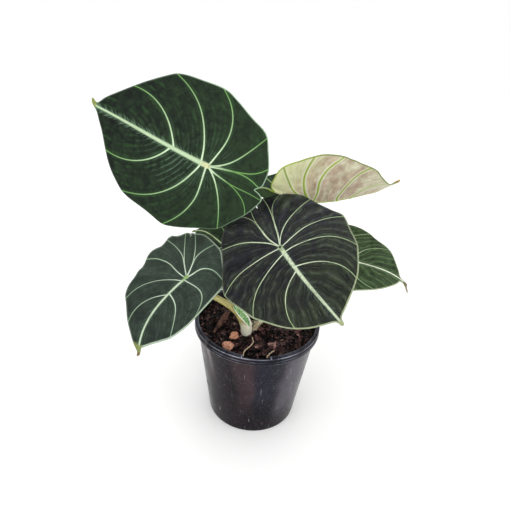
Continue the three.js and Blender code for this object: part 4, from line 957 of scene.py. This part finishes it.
# loose pieces of bark that lie on the mix
def barkSkin(name, dark, light, rim):
    # pine bark: flaky layers along the grain, matt, paler on freshly broken edges
    material, tree = newMaterial(name)
    spot = add(tree, "ShaderNodeTexCoord", out=3)
    grain = add(tree, "ShaderNodeTexNoise", {"Vector": spot, "Scale": 300.0, "Detail": 5.0,
                                             "Distortion": 1.2})
    flakes = add(tree, "ShaderNodeTexVoronoi", {"Vector": spot, "Scale": 420.0}, feature="DISTANCE_TO_EDGE")
    shade = add(tree, "ShaderNodeMix", {0: add(tree, "ShaderNodeMapRange", {0: grain, 1: 0.35, 2: 0.65}),
                                        6: linear(dark), 7: linear(light)}, **rgba)
    edgeShare = add(tree, "ShaderNodeMapRange", {0: add(tree, "ShaderNodeNewGeometry", out=7), 1: 0.53, 2: 0.62,
                                            3: 0.0, 4: 0.6})
    shade = add(tree, "ShaderNodeMix", {0: edgeShare, 6: shade, 7: linear(rim)}, **rgba)
    height = add(tree, "ShaderNodeMath", {0: flakes, 1: 0.8, 2: grain}, operation="MULTIPLY_ADD")
    finishMaterial(tree, shade, 0.8, {}, height, 0.5)
    return material


barks = {  # slot, skin, roughness and shift in mm
    "bark_chip_a": ("bark_orange", barkSkin("orange bark", "#a8634a", "#dfa689", "#f2cdb6"), 0.9,
                    (2.6, 0, 0)),
    "bark_chip_b": ("bark_orange", barkSkin("tan bark", "#a5604a", "#deaa90", "#f2d0bc"), 0.9, (0, 0, 0)),
    "bark_stick": ("bark_dark", barkSkin("wet dark bark", "#432923", "#7a5347", "#a27a6a"), 1.1, (0, 0, 1.5)),
}
for number, (node, (slot, material, amount, shift)) in enumerate(barks.items()):
    work = cleanCopy(node)
    bmesh.ops.translate(work, verts=work.verts, vec=Vector(shift) * mm)
    roughen(work, cuts=7, amount=amount, scale=3.2, seed=number + 1)
    mesh = bpy.data.meshes.new(node + "_rough")
    work.to_mesh(mesh)
    work.free()
    newPiece(node + "_rough", mesh, [material], slot, node)
print("bark made")

potShape = {  # radii and heights in mm; slot is the section that is cut from the rim, as radii and heights
    "tall": 115, "lipLow": 106, "rim": 65, "wall": 1.5, "floor": 2, "base": 47, "bodyTop": 61.5, "knee": 40,
    "slotFrom": -100.5, "slotTo": -76, "slotSteps": 25,
    "slot": [(59, 110), (62.6, 110), (64.2, 112.6), (64.2, 118), (59, 118)],
    "drains": 6, "drainRadius": 4.5, "drainAt": 30, "segments": 192,
}


def flare(z):  # outer radius of the pot's wall at a height
    return potShape["base"] + (potShape["bodyTop"] - potShape["base"]) * z / potShape["lipLow"]


def roundedProfile(corners):
    # corners are radius, height and how far the bend reaches; bends become short arcs
    made = []
    for i, (r, z, reach) in enumerate(corners):
        if reach == 0:
            made.append((r, z))
            continue
        here, before, after = [np.array(corners[j][:2], float) for j in (i, i - 1, i + 1)]
        ends = []
        for other in (before, after):
            away = np.linalg.norm(other - here)
            ends.append(here + (other - here) * min(reach, away * 0.45) / away)
        for u in np.linspace(0, 1, 5):
            made.append(tuple((1 - u) ** 2 * ends[0] + 2 * u * (1 - u) * here + u * u * ends[1]))
    return made


def turned(profile, segments):  # points and outward faces of a profile turned round the upright axis
    angles = np.linspace(0, 2 * np.pi, segments, endpoint=False)
    r, z = np.array(profile).T
    points = np.stack([np.cos(angles)[:, None] * r, np.sin(angles)[:, None] * r,
                       np.ones((segments, 1)) * z], 2)
    at = np.arange(segments * len(r)).reshape(segments, len(r))
    on = np.roll(at, -1, axis=0)
    faces = np.stack([at[:, :-1], on[:, :-1], on[:, 1:], at[:, 1:]], 2).reshape(-1, 4)
    return points.reshape(-1, 3), faces.tolist()


def potCutters():  # closed shapes for the label slot in the rim and the drain holes in the floor
    cut = potShape
    work = bmesh.new()
    a = np.radians(np.linspace(cut["slotFrom"], cut["slotTo"], cut["slotSteps"]))
    loops = [[work.verts.new(Vector((r * math.cos(t), r * math.sin(t), z)) * mm) for t in a]
             for r, z in cut["slot"]]
    for k, loop in enumerate(loops):
        after = loops[(k + 1) % len(loops)]
        for i in range(len(a) - 1):
            work.faces.new([loop[i], loop[i + 1], after[i + 1], after[i]])
    work.faces.new([loop[0] for loop in loops])
    work.faces.new([loop[-1] for loop in loops[::-1]])
    for i in range(cut["drains"]):
        t = 2 * math.pi * i / cut["drains"]
        place = Vector((cut["drainAt"] * math.cos(t), cut["drainAt"] * math.sin(t), 1)) * mm
        bmesh.ops.create_cone(work, cap_ends=True, segments=40, radius1=cut["drainRadius"] * mm,
                              radius2=cut["drainRadius"] * mm, depth=6 * mm,
                              matrix=Matrix.Translation(place))
    bmesh.ops.recalc_face_normals(work, faces=work.faces)
    mesh = bpy.data.meshes.new("pot cutters")
    work.to_mesh(mesh)
    work.free()
    held = bpy.data.objects.new("pot cutters", mesh)
    bpy.context.scene.collection.objects.link(held)
    return held


# injection moulded polypropylene: near black and glossy with a cold tint, with broad upright bands of painted
# reflection, lighter and darker and fading out lower down, warm patches of painted reflection, painted
# highlights on the lip's raised edges, pricked all over with dust and crossed by a few fine scratches from
# handling
potSkin, tree = newMaterial("moulded black polypropylene")
potLook = {
    "black": "#050507", "paintedWarmReflection": "#150d0f", "dust": "#5a5157", "scratch": "#aab0ba",
    "bands": [  # bands of painted reflection: turn in degrees round the pot, half width, colour, share and the height it fades out below
        (-148, 15, "#383033", 0.85, 72), (-137, 3, "#a39da0", 0.55, 90), (-98, 12, "#392b2d", 0.9, 45),
        (-125, 30, "#21181a", 0.35, -60), (-74, 14, "#1b1c26", 0.8, 50), (-42, 18, "#4d4951", 0.85, 35),
        (-5, 14, "#39363d", 0.7, 50), (40, 20, "#4b4850", 0.8, 50), (95, 12, "#35292b", 0.8, 40),
        (125, 20, "#4b474e", 0.8, 50), (175, 14, "#26242c", 0.8, 50)],
    "lip": "#13141a", "ridges": [  # radius, height, reach, colour and share of the painted highlights on the raised edges
        (62.6, 115, 1.5, "#3c404d", 0.75), (65, 113.5, 0.5, "#8a8d9a", 0.9),
        (61.3, 115, 0.45, "#7c808d", 0.8), (65, 109.8, 0.5, "#6c6e7a", 0.6),
        (64.9, 106.8, 0.5, "#75757f", 0.75)],
    "slotEnd": "#82859a",
}
spot = add(tree, "ShaderNodeTexCoord", out=3)
places = add(tree, "ShaderNodeSeparateXYZ", {0: spot}, out=None).outputs
smudgeAndReflectionNoise = add(tree, "ShaderNodeTexNoise", {"Vector": spot, "Scale": 55.0, "Detail": 5.0, "Distortion": 0.8})
specks = add(tree, "ShaderNodeTexNoise", {"Vector": spot, "Scale": 850.0, "Detail": 2.0})
streakPlace = add(tree, "ShaderNodeMapping", {"Vector": spot, "Rotation": (0.3, 0.5, 0.2),
                                              "Scale": (900, 60, 60)})
streaks = add(tree, "ShaderNodeTexNoise", {"Vector": streakPlace, "Scale": 1.0, "Detail": 1.0})
wander = add(tree, "ShaderNodeTexNoise", {"Vector": spot, "Scale": 18.0, "Detail": 2.0}, out=1)
reflectionAndScratchShare = add(tree, "ShaderNodeMapRange", {0: smudgeAndReflectionNoise, 1: 0.5, 2: 0.75, 3: 0.0, 4: 1.0})
scratch = add(tree, "ShaderNodeMapRange", {0: streaks, 1: 0.68, 2: 0.74, 3: 0.0, 4: 0.7})
scratch = add(tree, "ShaderNodeMath", {0: scratch, 1: reflectionAndScratchShare}, operation="MULTIPLY")
# painted reflection: the black turns warm in patches, as if a warm thing beside the pot were mirrored in it;
# the same patches hold the scratches
shade = add(tree, "ShaderNodeMix", {0: reflectionAndScratchShare, 6: linear(potLook["black"]), 7: linear(potLook["paintedWarmReflection"])},
            **rgba)
bent = add(tree, "ShaderNodeVectorMath", {0: wander, 1: (0.03, 0.03, 0), 2: spot}, operation="MULTIPLY_ADD")
bent = add(tree, "ShaderNodeVectorMath", {0: bent, 1: (-0.015, -0.015, 0)}, operation="ADD")
bent = add(tree, "ShaderNodeVectorMath", {0: bent, 1: (1, 1, 0)}, operation="MULTIPLY")
facing = add(tree, "ShaderNodeVectorMath", {0: bent}, operation="NORMALIZE")
# painted reflection: upright bands round the pot, lighter and darker, fading out lower down
for turn, half, tint, share, fadeBelow in potLook["bands"]:
    toward = (math.cos(math.radians(turn)), math.sin(math.radians(turn)), 0)
    near = add(tree, "ShaderNodeVectorMath", {0: facing, 1: toward}, out="Value", operation="DOT_PRODUCT")
    band = add(tree, "ShaderNodeMapRange", {0: near, 1: math.cos(math.radians(half * 1.35)),
                                            2: math.cos(math.radians(half * 0.55)), 3: 0.0, 4: share},
               **soft)
    fade = add(tree, "ShaderNodeMapRange", {0: places["Z"], 1: (fadeBelow - 30) * mm,
                                            2: (fadeBelow + 15) * mm, 3: 0.0, 4: 1.0}, **soft)
    band = add(tree, "ShaderNodeMath", {0: band, 1: fade}, operation="MULTIPLY")
    shade = add(tree, "ShaderNodeMix", {0: band, 6: shade, 7: linear(tint)}, **rgba)
onLip = add(tree, "ShaderNodeMath", {0: places["Z"], 1: (potShape["lipLow"] - 0.2) * mm},
            operation="GREATER_THAN")
onLip = add(tree, "ShaderNodeMath", {0: onLip, 1: 0.6}, operation="MULTIPLY")
shade = add(tree, "ShaderNodeMix", {0: onLip, 6: shade, 7: linear(potLook["lip"])}, **rgba)
radius = add(tree, "ShaderNodeVectorMath", {0: spot, 1: (1, 1, 0)}, operation="MULTIPLY")
radius = add(tree, "ShaderNodeVectorMath", {0: radius}, out="Value", operation="LENGTH")
section = add(tree, "ShaderNodeCombineXYZ", {0: radius, 1: places["Z"]})
# painted highlights along the lip's raised edges, stronger and weaker round the pot
edgeShare = add(tree, "ShaderNodeMapRange", {0: smudgeAndReflectionNoise, 1: 0.38, 2: 0.62, 3: 0.1, 4: 1.1})
for wide, tall, reach, tint, share in potLook["ridges"]:
    off = add(tree, "ShaderNodeVectorMath", {0: section, 1: (wide * mm, tall * mm, 0)}, out="Value",
              operation="DISTANCE")
    edgeHighlight = add(tree, "ShaderNodeMapRange", {0: off, 1: reach * 0.6 * mm, 2: reach * 1.3 * mm, 3: share,
                                             4: 0.0})
    edgeHighlight = add(tree, "ShaderNodeMath", {0: edgeHighlight, 1: edgeShare}, operation="MULTIPLY")
    shade = add(tree, "ShaderNodeMix", {0: edgeHighlight, 6: shade, 7: linear(tint)}, **rgba)
onTop = add(tree, "ShaderNodeMath", {0: places["Z"], 1: (potShape["tall"] - 1.2) * mm},
            operation="GREATER_THAN")
outWay = add(tree, "ShaderNodeVectorMath", {0: spot, 1: (1, 1, 0)}, operation="MULTIPLY")
outWay = add(tree, "ShaderNodeVectorMath", {0: outWay}, operation="NORMALIZE")
for turn in (potShape["slotFrom"] - 0.35, potShape["slotTo"] + 0.35):  # the slot's cut ends catch light
    toward = (math.cos(math.radians(turn)), math.sin(math.radians(turn)), 0)
    near = add(tree, "ShaderNodeVectorMath", {0: outWay, 1: toward}, out="Value", operation="DOT_PRODUCT")
    tick = add(tree, "ShaderNodeMapRange", {0: near, 1: math.cos(math.radians(0.7)),
                                            2: math.cos(math.radians(0.35)), 3: 0.0, 4: 0.85})
    tick = add(tree, "ShaderNodeMath", {0: tick, 1: onTop}, operation="MULTIPLY")
    shade = add(tree, "ShaderNodeMix", {0: tick, 6: shade, 7: linear(potLook["slotEnd"])}, **rgba)
grime = add(tree, "ShaderNodeMapRange", {0: smudgeAndReflectionNoise, 1: 0.25, 2: 0.7, 3: 0.75, 4: 1.25})
shade = add(tree, "ShaderNodeVectorMath", {0: shade, "Scale": grime}, operation="SCALE")
prick = add(tree, "ShaderNodeMapRange", {0: specks, 1: 0.55, 2: 0.75, 3: 0.0, 4: 0.6})
shade = add(tree, "ShaderNodeMix", {0: prick, 6: shade, 7: linear(potLook["dust"])}, **rgba)
shade = add(tree, "ShaderNodeMix", {0: scratch, 6: shade, 7: linear(potLook["scratch"])}, **rgba)
roughness = add(tree, "ShaderNodeMapRange", {0: smudgeAndReflectionNoise, 1: 0.3, 2: 0.7, 3: 0.16, 4: 0.34})
height = add(tree, "ShaderNodeMath", {0: specks, 1: 0.3, 2: smudgeAndReflectionNoise}, operation="MULTIPLY_ADD")
finishMaterial(tree, shade, roughness, {"Specular IOR Level": 0.08, "Specular Tint": linear("#dfe4ff")},
               height, 0.25)

foot, knee, wall, inside = potShape["base"], potShape["knee"], potShape["wall"], potShape["floor"]
rim, lipLow, tall = potShape["rim"], potShape["lipLow"], potShape["tall"]
profile = [  # radius, height and reach of the bend: up the outside, over the lip and down the inside
    (0, 0, 0), (foot - 1, 0, 0.8), (foot, 1, 0.8), (flare(knee), knee, 0), (flare(lipLow), lipLow, 0.4),
    (rim - 0.8, lipLow, 0.5), (rim, lipLow + 0.8, 0.5), (rim, tall - 5.2, 0.7), (rim - 1.3, tall - 4.1, 0.4),
    (rim - 0.1, tall - 3, 0.7), (rim, tall - 1, 0.9), (rim - 1.1, tall, 0.9), (rim - 3.6, tall, 0.8),
    (rim - 4.4, tall - 1, 0.8), (flare(lipLow) - wall, lipLow - 2, 4), (flare(knee) - wall, knee, 0),
    (foot - wall, inside + 1, 0.6), (foot - wall - 1, inside, 0.6), (0, inside, 0)]
points, faces = turned(roundedProfile(profile), potShape["segments"])
base = bpy.data.objects.new("pot blank", meshFrom("pot_body", points, faces))
bpy.context.scene.collection.objects.link(base)
cutters = potCutters()
cutting = base.modifiers.new("cut", "BOOLEAN")
cutting.operation, cutting.solver, cutting.object = "DIFFERENCE", "EXACT", cutters
bpy.context.view_layer.update()
mesh = bpy.data.meshes.new_from_object(base.evaluated_get(bpy.context.evaluated_depsgraph_get()))
for spare in (base, cutters):
    bpy.data.objects.remove(spare)
mesh.materials.clear()
mesh.shade_smooth()
mesh.set_sharp_from_angle(angle=math.radians(40))
newPiece("pot_body", mesh, [potSkin], "pot", "pot")
print("pot made:", len(mesh.polygons), "faces")


# the potting mix: a bed of fine mix with chips, crumbs and fibres strewn over it
mixShape = {
    "top": 107, "mound": 3, "settled": 2.6, "grit": 0.9, "lumps": 90, "gap": 0.35, "rings": 64,
    "segments": 200,
    "heap": (8, -9, 13, 4.5),  # middle, reach and height
    "hollow": (0, -58, 15, 5, 6),  # middle, reach both ways and depth
    "sides": (104, 72, 40),  # heights along the wall
    "foot": [(44.95, 3.4), (43.95, 2.35), (0, 2.35)],  # radii and heights
    "large": {"Density": 0.016, "Length": 7.6, "Least": 0.6, "Thick": 0.3, "Tilt": 0.45, "Seed": 3,
              "Room": 54, "Lift": 2.4},
    "medium": {"Density": 0.15, "Length": 4.8, "Least": 0.45, "Thick": 0.34, "Tilt": 0.9, "Seed": 11,
               "Room": 57, "Lift": 1.9},
    "crumbs": {"Density": 0.19, "Length": 2.6, "Least": 0.35, "Thick": 0.5, "Tilt": 1.5, "Seed": 23,
               "Room": 58.4, "Lift": 1.2},
    "fibres": {"Density": 0.012, "Length": 8, "Least": 0.4, "Thick": 0.024, "Tilt": 0.35, "Seed": 41,
               "Room": 56, "Lift": 3.0},
}


def seeded(value):  # the same even random numbers as in the solids
    while True:
        value = value * 16807 % 2147483647
        yield value / 2147483647


chance = seeded(7)
lumps = []
for i in range(mixShape["lumps"]):
    a, d = next(chance) * 2 * np.pi, 58 * math.sqrt(next(chance))
    lumps.append((d * math.cos(a), d * math.sin(a), 4 + 5 * next(chance), (next(chance) - 0.4) * 3.4))


def mixHeight(x, y):
    # the top of the mix: a low mound with lumps, a heap beside the crown and a hollow under the label slot
    heap = 0
    for cx, cy, wide, tall in lumps:
        heap = heap + tall * np.maximum(0, 1 - ((x - cx) ** 2 + (y - cy) ** 2) / wide ** 2) ** 2
    hx, hy, wide, tall = mixShape["heap"]
    heap = heap + tall * np.maximum(0, 1 - ((x - hx) ** 2 + (y - hy) ** 2) / wide ** 2)
    hx, hy, wide, deep, low = mixShape["hollow"]
    heap = heap - low * np.maximum(0, 1 - ((x - hx) / wide) ** 2 - ((y - hy) / deep) ** 2)
    return (mixShape["top"] + mixShape["mound"] * np.maximum(0, 1 - np.hypot(x + 3, y + 8) / 45)
            + heap * np.minimum(1, np.maximum(0.25, (60 - np.hypot(x, y)) / 8)))


def barkMix(name, dark, light, red, pale):
    # composted pine bark, moist and matt, dark red-brown with drier paler flakes and dark gaps between;
    # painted shade darkens its hollows and painted highlight lightens its corners
    material, tree = newMaterial(name)
    tint = add(tree, "ShaderNodeAttribute", out=2, attribute_name="tint")
    spot = add(tree, "ShaderNodeTexCoord", out=3)
    grain = add(tree, "ShaderNodeTexNoise", {"Vector": spot, "Scale": 600.0, "Detail": 4.0,
                                             "Distortion": 0.6})
    tone = add(tree, "ShaderNodeMapRange", {0: grain, 1: 0.35, 2: 0.65, 3: -0.25, 4: 0.25})
    tone = add(tree, "ShaderNodeMath", {0: tint, 1: tone}, operation="ADD", use_clamp=True)
    tone = add(tree, "ShaderNodeMapRange", {0: tone, 1: 0.42, 2: 1.0, 3: 0.0, 4: 1.0})
    shade = add(tree, "ShaderNodeMix", {0: tone, 6: linear(dark), 7: linear(light)}, **rgba)
    reddish = add(tree, "ShaderNodeMapRange", {0: tint, 1: 0.85, 2: 0.88, 3: 0.0, 4: 0.7})
    shade = add(tree, "ShaderNodeMix", {0: reddish, 6: shade, 7: linear(red)}, **rgba)
    fresh = add(tree, "ShaderNodeMapRange", {0: tint, 1: 0.97, 2: 0.98, 3: 0.0, 4: 0.85})
    shade = add(tree, "ShaderNodeMix", {0: fresh, 6: shade, 7: linear(pale)}, **rgba)
    # painted shade and painted highlight: darker in hollows, lighter on sharp corners, read from the
    # surface's pointiness
    cornerLightAndShade = add(tree, "ShaderNodeMapRange", {0: add(tree, "ShaderNodeNewGeometry", out=7), 1: 0.56,
                                              2: 0.72, 3: 0.55, 4: 1.9})
    shade = add(tree, "ShaderNodeVectorMath", {0: shade, "Scale": cornerLightAndShade}, operation="SCALE")
    finishMaterial(tree, shade, 0.55, {"Specular IOR Level": 0.2}, grain, 0.6)
    return material


mixSkin = barkMix("moist composted bark", "#050102", "#735455", "#6b4441", "#a57d78")
# the bed that shows between the chips is near black: painted shade for the gaps
bedSkin = barkMix("dark fines below the bark, painted as shade", "#060304", "#1c1110", "#1c1110", "#241614")
fibreSkin = barkMix("coir fibre", "#4a3226", "#8a6a4d", "#6f4a36", "#b39a78")


def mixRadius(height):  # where the mix ends, just inside the pot's wall
    return flare(height) - potShape["wall"] - mixShape["gap"]


rings = mixShape["rings"]
r = np.linspace(0, mixRadius(mixShape["top"]), rings)
angles = np.linspace(0, 2 * np.pi, mixShape["segments"], endpoint=False)
x, y = np.cos(angles)[:, None] * r, np.sin(angles)[:, None] * r
flatPoints = zip(x.ravel(), y.ravel(), x.ravel() * 0)
grit = np.array([noise.fractal(Vector(p) / 2.6, 0.7, 2.2, 4) for p in flatPoints]).reshape(x.shape)
z = mixHeight(x, y) - mixShape["settled"] + mixShape["grit"] * grit * np.minimum(1, (61 - r) / 3)
top = np.stack([x, y, z], 2)
lowRadii, heights = np.array([*[(mixRadius(h), h) for h in mixShape["sides"]], *mixShape["foot"]]).T
lowPoints = np.stack([np.cos(angles)[:, None] * lowRadii, np.sin(angles)[:, None] * lowRadii,
                      np.ones((len(angles), 1)) * heights], 2)
grid = np.concatenate([top, lowPoints], 1)
at = np.arange(grid.shape[0] * grid.shape[1]).reshape(grid.shape[:2])
on = np.roll(at, -1, axis=0)
squares = np.stack([at[:, :-1], at[:, 1:], on[:, 1:], on[:, :-1]], 2)
bed = meshFrom("mix_bed", grid.reshape(-1, 3), squares.reshape(-1, 4).tolist())
newPiece("mix_bed", bed, [bedSkin], "potting_mix", "potting_mix")


def scatterTree():
    # strews bark chips over a surface: few faces each, every one turned and stretched its own way
    tree = bpy.data.node_groups.new("strewn chips", "GeometryNodeTree")
    kinds = {"Geometry": "NodeSocketGeometry", "Material": "NodeSocketMaterial",
             "Density": "NodeSocketFloat", "Length": "NodeSocketFloat", "Least": "NodeSocketFloat",
             "Thick": "NodeSocketFloat", "Tilt": "NodeSocketFloat", "Seed": "NodeSocketInt",
             "Room": "NodeSocketFloat", "Lift": "NodeSocketFloat"}
    for label, kind in kinds.items():
        tree.interface.new_socket(label, in_out="INPUT", socket_type=kind)
    tree.interface.new_socket("Geometry", in_out="OUTPUT", socket_type="NodeSocketGeometry")
    given = add(tree, "NodeGroupInput", out=None).outputs
    place = add(tree, "GeometryNodeInputPosition")
    flat = add(tree, "ShaderNodeVectorMath", {0: place, 1: (1, 1, 0)}, operation="MULTIPLY")
    fromMiddle = add(tree, "ShaderNodeVectorMath", {0: flat}, out="Value", operation="LENGTH")
    inside = add(tree, "FunctionNodeCompare", {0: fromMiddle, 1: given["Room"]}, data_type="FLOAT",
                 operation="LESS_THAN")
    clear = add(tree, "GeometryNodeInputNamedAttribute", {"Name": "clear"}, data_type="FLOAT")
    perArea = add(tree, "ShaderNodeMath", {0: given["Density"], 1: clear}, operation="MULTIPLY")
    strewn = add(tree, "GeometryNodeDistributePointsOnFaces",
                 {"Mesh": given["Geometry"], "Selection": inside, "Density": perArea,
                  "Seed": given["Seed"]})
    shapes = add(tree, "GeometryNodeGeometryToInstance", out=None)
    for variant in range(6):
        block = add(tree, "GeometryNodeMeshCube", {"Size": (1, 1, 1), "Vertices X": 4, "Vertices Y": 3,
                                                   "Vertices Z": 3 if variant % 2 else 2})
        push = add(tree, "FunctionNodeRandomValue", {0: (-0.17, -0.2, -0.22), 1: (0.17, 0.2, 0.22),
                                                     "Seed": 50 + variant}, data_type="FLOAT_VECTOR")
        rough = add(tree, "GeometryNodeSetPosition", {"Geometry": block, "Offset": push})
        tree.links.new(rough, shapes.inputs[0])
    spin = add(tree, "FunctionNodeRandomValue", {0: (-1, -1, -3.14), 1: (1, 1, 3.14),
                                                 "Seed": given["Seed"]}, data_type="FLOAT_VECTOR")
    lean = add(tree, "ShaderNodeCombineXYZ", {0: given["Tilt"], 1: given["Tilt"], 2: 1.0})
    turn = add(tree, "ShaderNodeVectorMath", {0: spin, 1: lean}, operation="MULTIPLY")
    size = add(tree, "FunctionNodeRandomValue", {2: given["Least"], 3: 1.0, "Seed": 7}, out=1,
               data_type="FLOAT")
    wide = add(tree, "FunctionNodeRandomValue", {2: 0.24, 3: 0.66, "Seed": 8}, out=1, data_type="FLOAT")
    thick = add(tree, "FunctionNodeRandomValue", {2: 0.6, 3: 1.4, "Seed": 9}, out=1, data_type="FLOAT")
    thick = add(tree, "ShaderNodeMath", {0: thick, 1: given["Thick"]}, operation="MULTIPLY")
    widest = add(tree, "ShaderNodeMath", {0: given["Thick"], 1: 2.2}, operation="MULTIPLY")
    wide = add(tree, "ShaderNodeMath", {0: wide, 1: widest}, operation="MINIMUM")
    shape = add(tree, "ShaderNodeCombineXYZ", {0: 1.0, 1: wide, 2: thick})
    long = add(tree, "ShaderNodeMath", {0: size, 1: given["Length"]}, operation="MULTIPLY")
    scale = add(tree, "ShaderNodeVectorMath", {0: shape, "Scale": long}, operation="SCALE")
    scale = add(tree, "ShaderNodeVectorMath", {0: scale, "Scale": mm}, operation="SCALE")
    which = add(tree, "FunctionNodeRandomValue", {4: 0, 5: 5, "Seed": given["Seed"]}, out=2,
                data_type="INT")
    rotation = add(tree, "FunctionNodeEulerToRotation", {0: turn})
    laid = add(tree, "GeometryNodeInstanceOnPoints", {"Points": strewn, "Instance": shapes.outputs[0],
                                                      "Pick Instance": True, "Instance Index": which,
                                                      "Rotation": rotation, "Scale": scale})
    tint = add(tree, "FunctionNodeRandomValue", {2: 0.0, 3: 1.0, "Seed": 5}, out=1, data_type="FLOAT")
    tinted = add(tree, "GeometryNodeStoreNamedAttribute", {"Geometry": laid, "Name": "tint", "Value": tint},
                 data_type="FLOAT", domain="INSTANCE")
    whole = add(tree, "GeometryNodeRealizeInstances", {"Geometry": tinted})
    rise = add(tree, "ShaderNodeMath", {0: given["Lift"], 1: mm}, operation="MULTIPLY")
    raised = add(tree, "GeometryNodeTransform",
                 {"Geometry": whole, "Translation": add(tree, "ShaderNodeCombineXYZ", {2: rise})})
    painted = add(tree, "GeometryNodeSetMaterial", {"Geometry": raised, "Material": given["Material"]})
    add(tree, "NodeGroupOutput", {0: painted}, out=None)
    return tree


keepClear = [  # paths on the mix that chips keep off and their reach; the last lies inside the label slot, where even the crumbs keep off so the near-black bed shows there as painted shade
    ([[-24.5, -26.5, 0]], 6), ([[-27, -43, 0]], 7), ([[-43, -20, 0], [-29, 11, 0]], 4.5),
    ([[-12, -22, 0]], 7), ([[4, -19, 0]], 4), ([[-3, -3, 0]], 12), (roots["surface_root_a"], 2.6),
    (roots["surface_root_b"], 2.6), ([[-10, -56, 0], [2, -57, 0], [13, -55.5, 0]], 4.5)]
away = []  # distance of each point of the mix's top from each path, as a share of the reach
for path, reach in keepClear:
    line = smoothPath(path, 40)[0] if len(path) > 1 else np.array(path, float)
    away.append(np.min([np.hypot(top[..., 0] - px, top[..., 1] - py) / reach for px, py, pz in line],
                       axis=0))
nearest = np.min(away, axis=0)
strewn = {"large": (mixSkin, nearest > 1.5), "medium": (mixSkin, nearest > 1),
          "crumbs": (mixSkin, away[-1] > 1), "fibres": (fibreSkin, nearest > 1)}
scatter = scatterTree()
topFaces = squares[:, :rings - 1].reshape(-1, 4)
for name, (skin, free) in strewn.items():
    surface = bpy.data.meshes.new(name + " ground")
    surface.from_pydata((grid.reshape(-1, 3) * mm).tolist(), [], topFaces.tolist())
    held = surface.attributes.new("clear", "FLOAT", "POINT")
    clear = np.ones(grid.shape[:2])
    clear[:, :rings] = free
    perSquareMetre = clear.ravel() * 1e6  # densities are given for a square millimetre
    held.data.foreach_set("value", perSquareMetre.astype(np.float32))
    mesh = grow(f"mix_{name}", surface, scatter, {**mixShape[name], "Material": skin})
    mesh.materials.clear()
    newPiece(f"mix_{name}", mesh, [skin], "potting_mix", "potting_mix")
    print("mix strewn:", name, len(mesh.polygons), "faces")

# the stage: floor, light and camera
floorMaterial, tree = newMaterial("matt paper backdrop")  # white paper that keeps only a soft shadow
finishMaterial(tree, linear("#ffffff"), 0.9, {})
far = 8000  # half the side of the floor, in mm
floorMesh = meshFrom("floor", [(-far, -far, 0), (far, -far, 0), (far, far, 0), (-far, far, 0)],
                     [(0, 1, 2, 3)])
floor = bpy.data.objects.new("floor", floorMesh)
floor.data.materials.append(floorMaterial)
bpy.context.scene.collection.objects.link(floor)

world = bpy.data.worlds.new("soft white studio")
bpy.context.scene.world = world
world.use_nodes = True
world.node_tree.nodes["Background"].inputs["Color"].default_value = linear("#ffffff")
world.node_tree.nodes["Background"].inputs["Strength"].default_value = 1.0
lights = [  # name, place and size in metres, power in watts
    ("key softbox", (-0.45, -0.75, 1.15), 0.9, 3.4),
    ("side softbox", (0.9, -0.4, 0.8), 0.8, 1.5),
    ("back softbox", (0.1, 1.0, 0.9), 0.9, 1.5),
    ("front fill", (0.25, -1.0, 0.45), 0.35, 2.2),
]
lightsAim = (0, 0, 0.17)
for name, place, size, power in lights:
    lamp = bpy.data.lights.new(name, "AREA")
    lamp.size, lamp.energy = size, power
    held = bpy.data.objects.new(name, lamp)
    held.location = place
    held.rotation_euler = (Vector(lightsAim) - Vector(place)).to_track_quat("-Z", "Y").to_euler()
    bpy.context.scene.collection.objects.link(held)

view = {  # how far from a point at the height middle and how high above it, then how the camera is turned
    "away": 560, "above": 36, "middle": 115, "turn": -0.93, "dip": 29.31, "roll": 4.07,
    "focal": 533.6, "frame": 510, "sensor": 36,  # focal and frame in pixels, sensor in mm
}
above = math.radians(view["above"])
place = (0, -view["away"] * math.cos(above), view["middle"] + view["away"] * math.sin(above))
pose = Matrix.Translation(Vector(place) * mm)
for angle, axis in ((-view["turn"], "Z"), (90 - view["dip"], "X"), (view["roll"], "Z")):
    pose = pose @ Matrix.Rotation(math.radians(angle), 4, axis)
camera = bpy.data.objects.new("camera", bpy.data.cameras.new("camera"))
camera.matrix_world = pose
camera.data.sensor_width = view["sensor"]
camera.data.lens = view["focal"] / view["frame"] * view["sensor"]
camera.data.clip_end = 30
bpy.context.scene.collection.objects.link(camera)
bpy.context.scene.camera = camera
bpy.context.scene.view_settings.view_transform = "Standard"

print("scene finished")
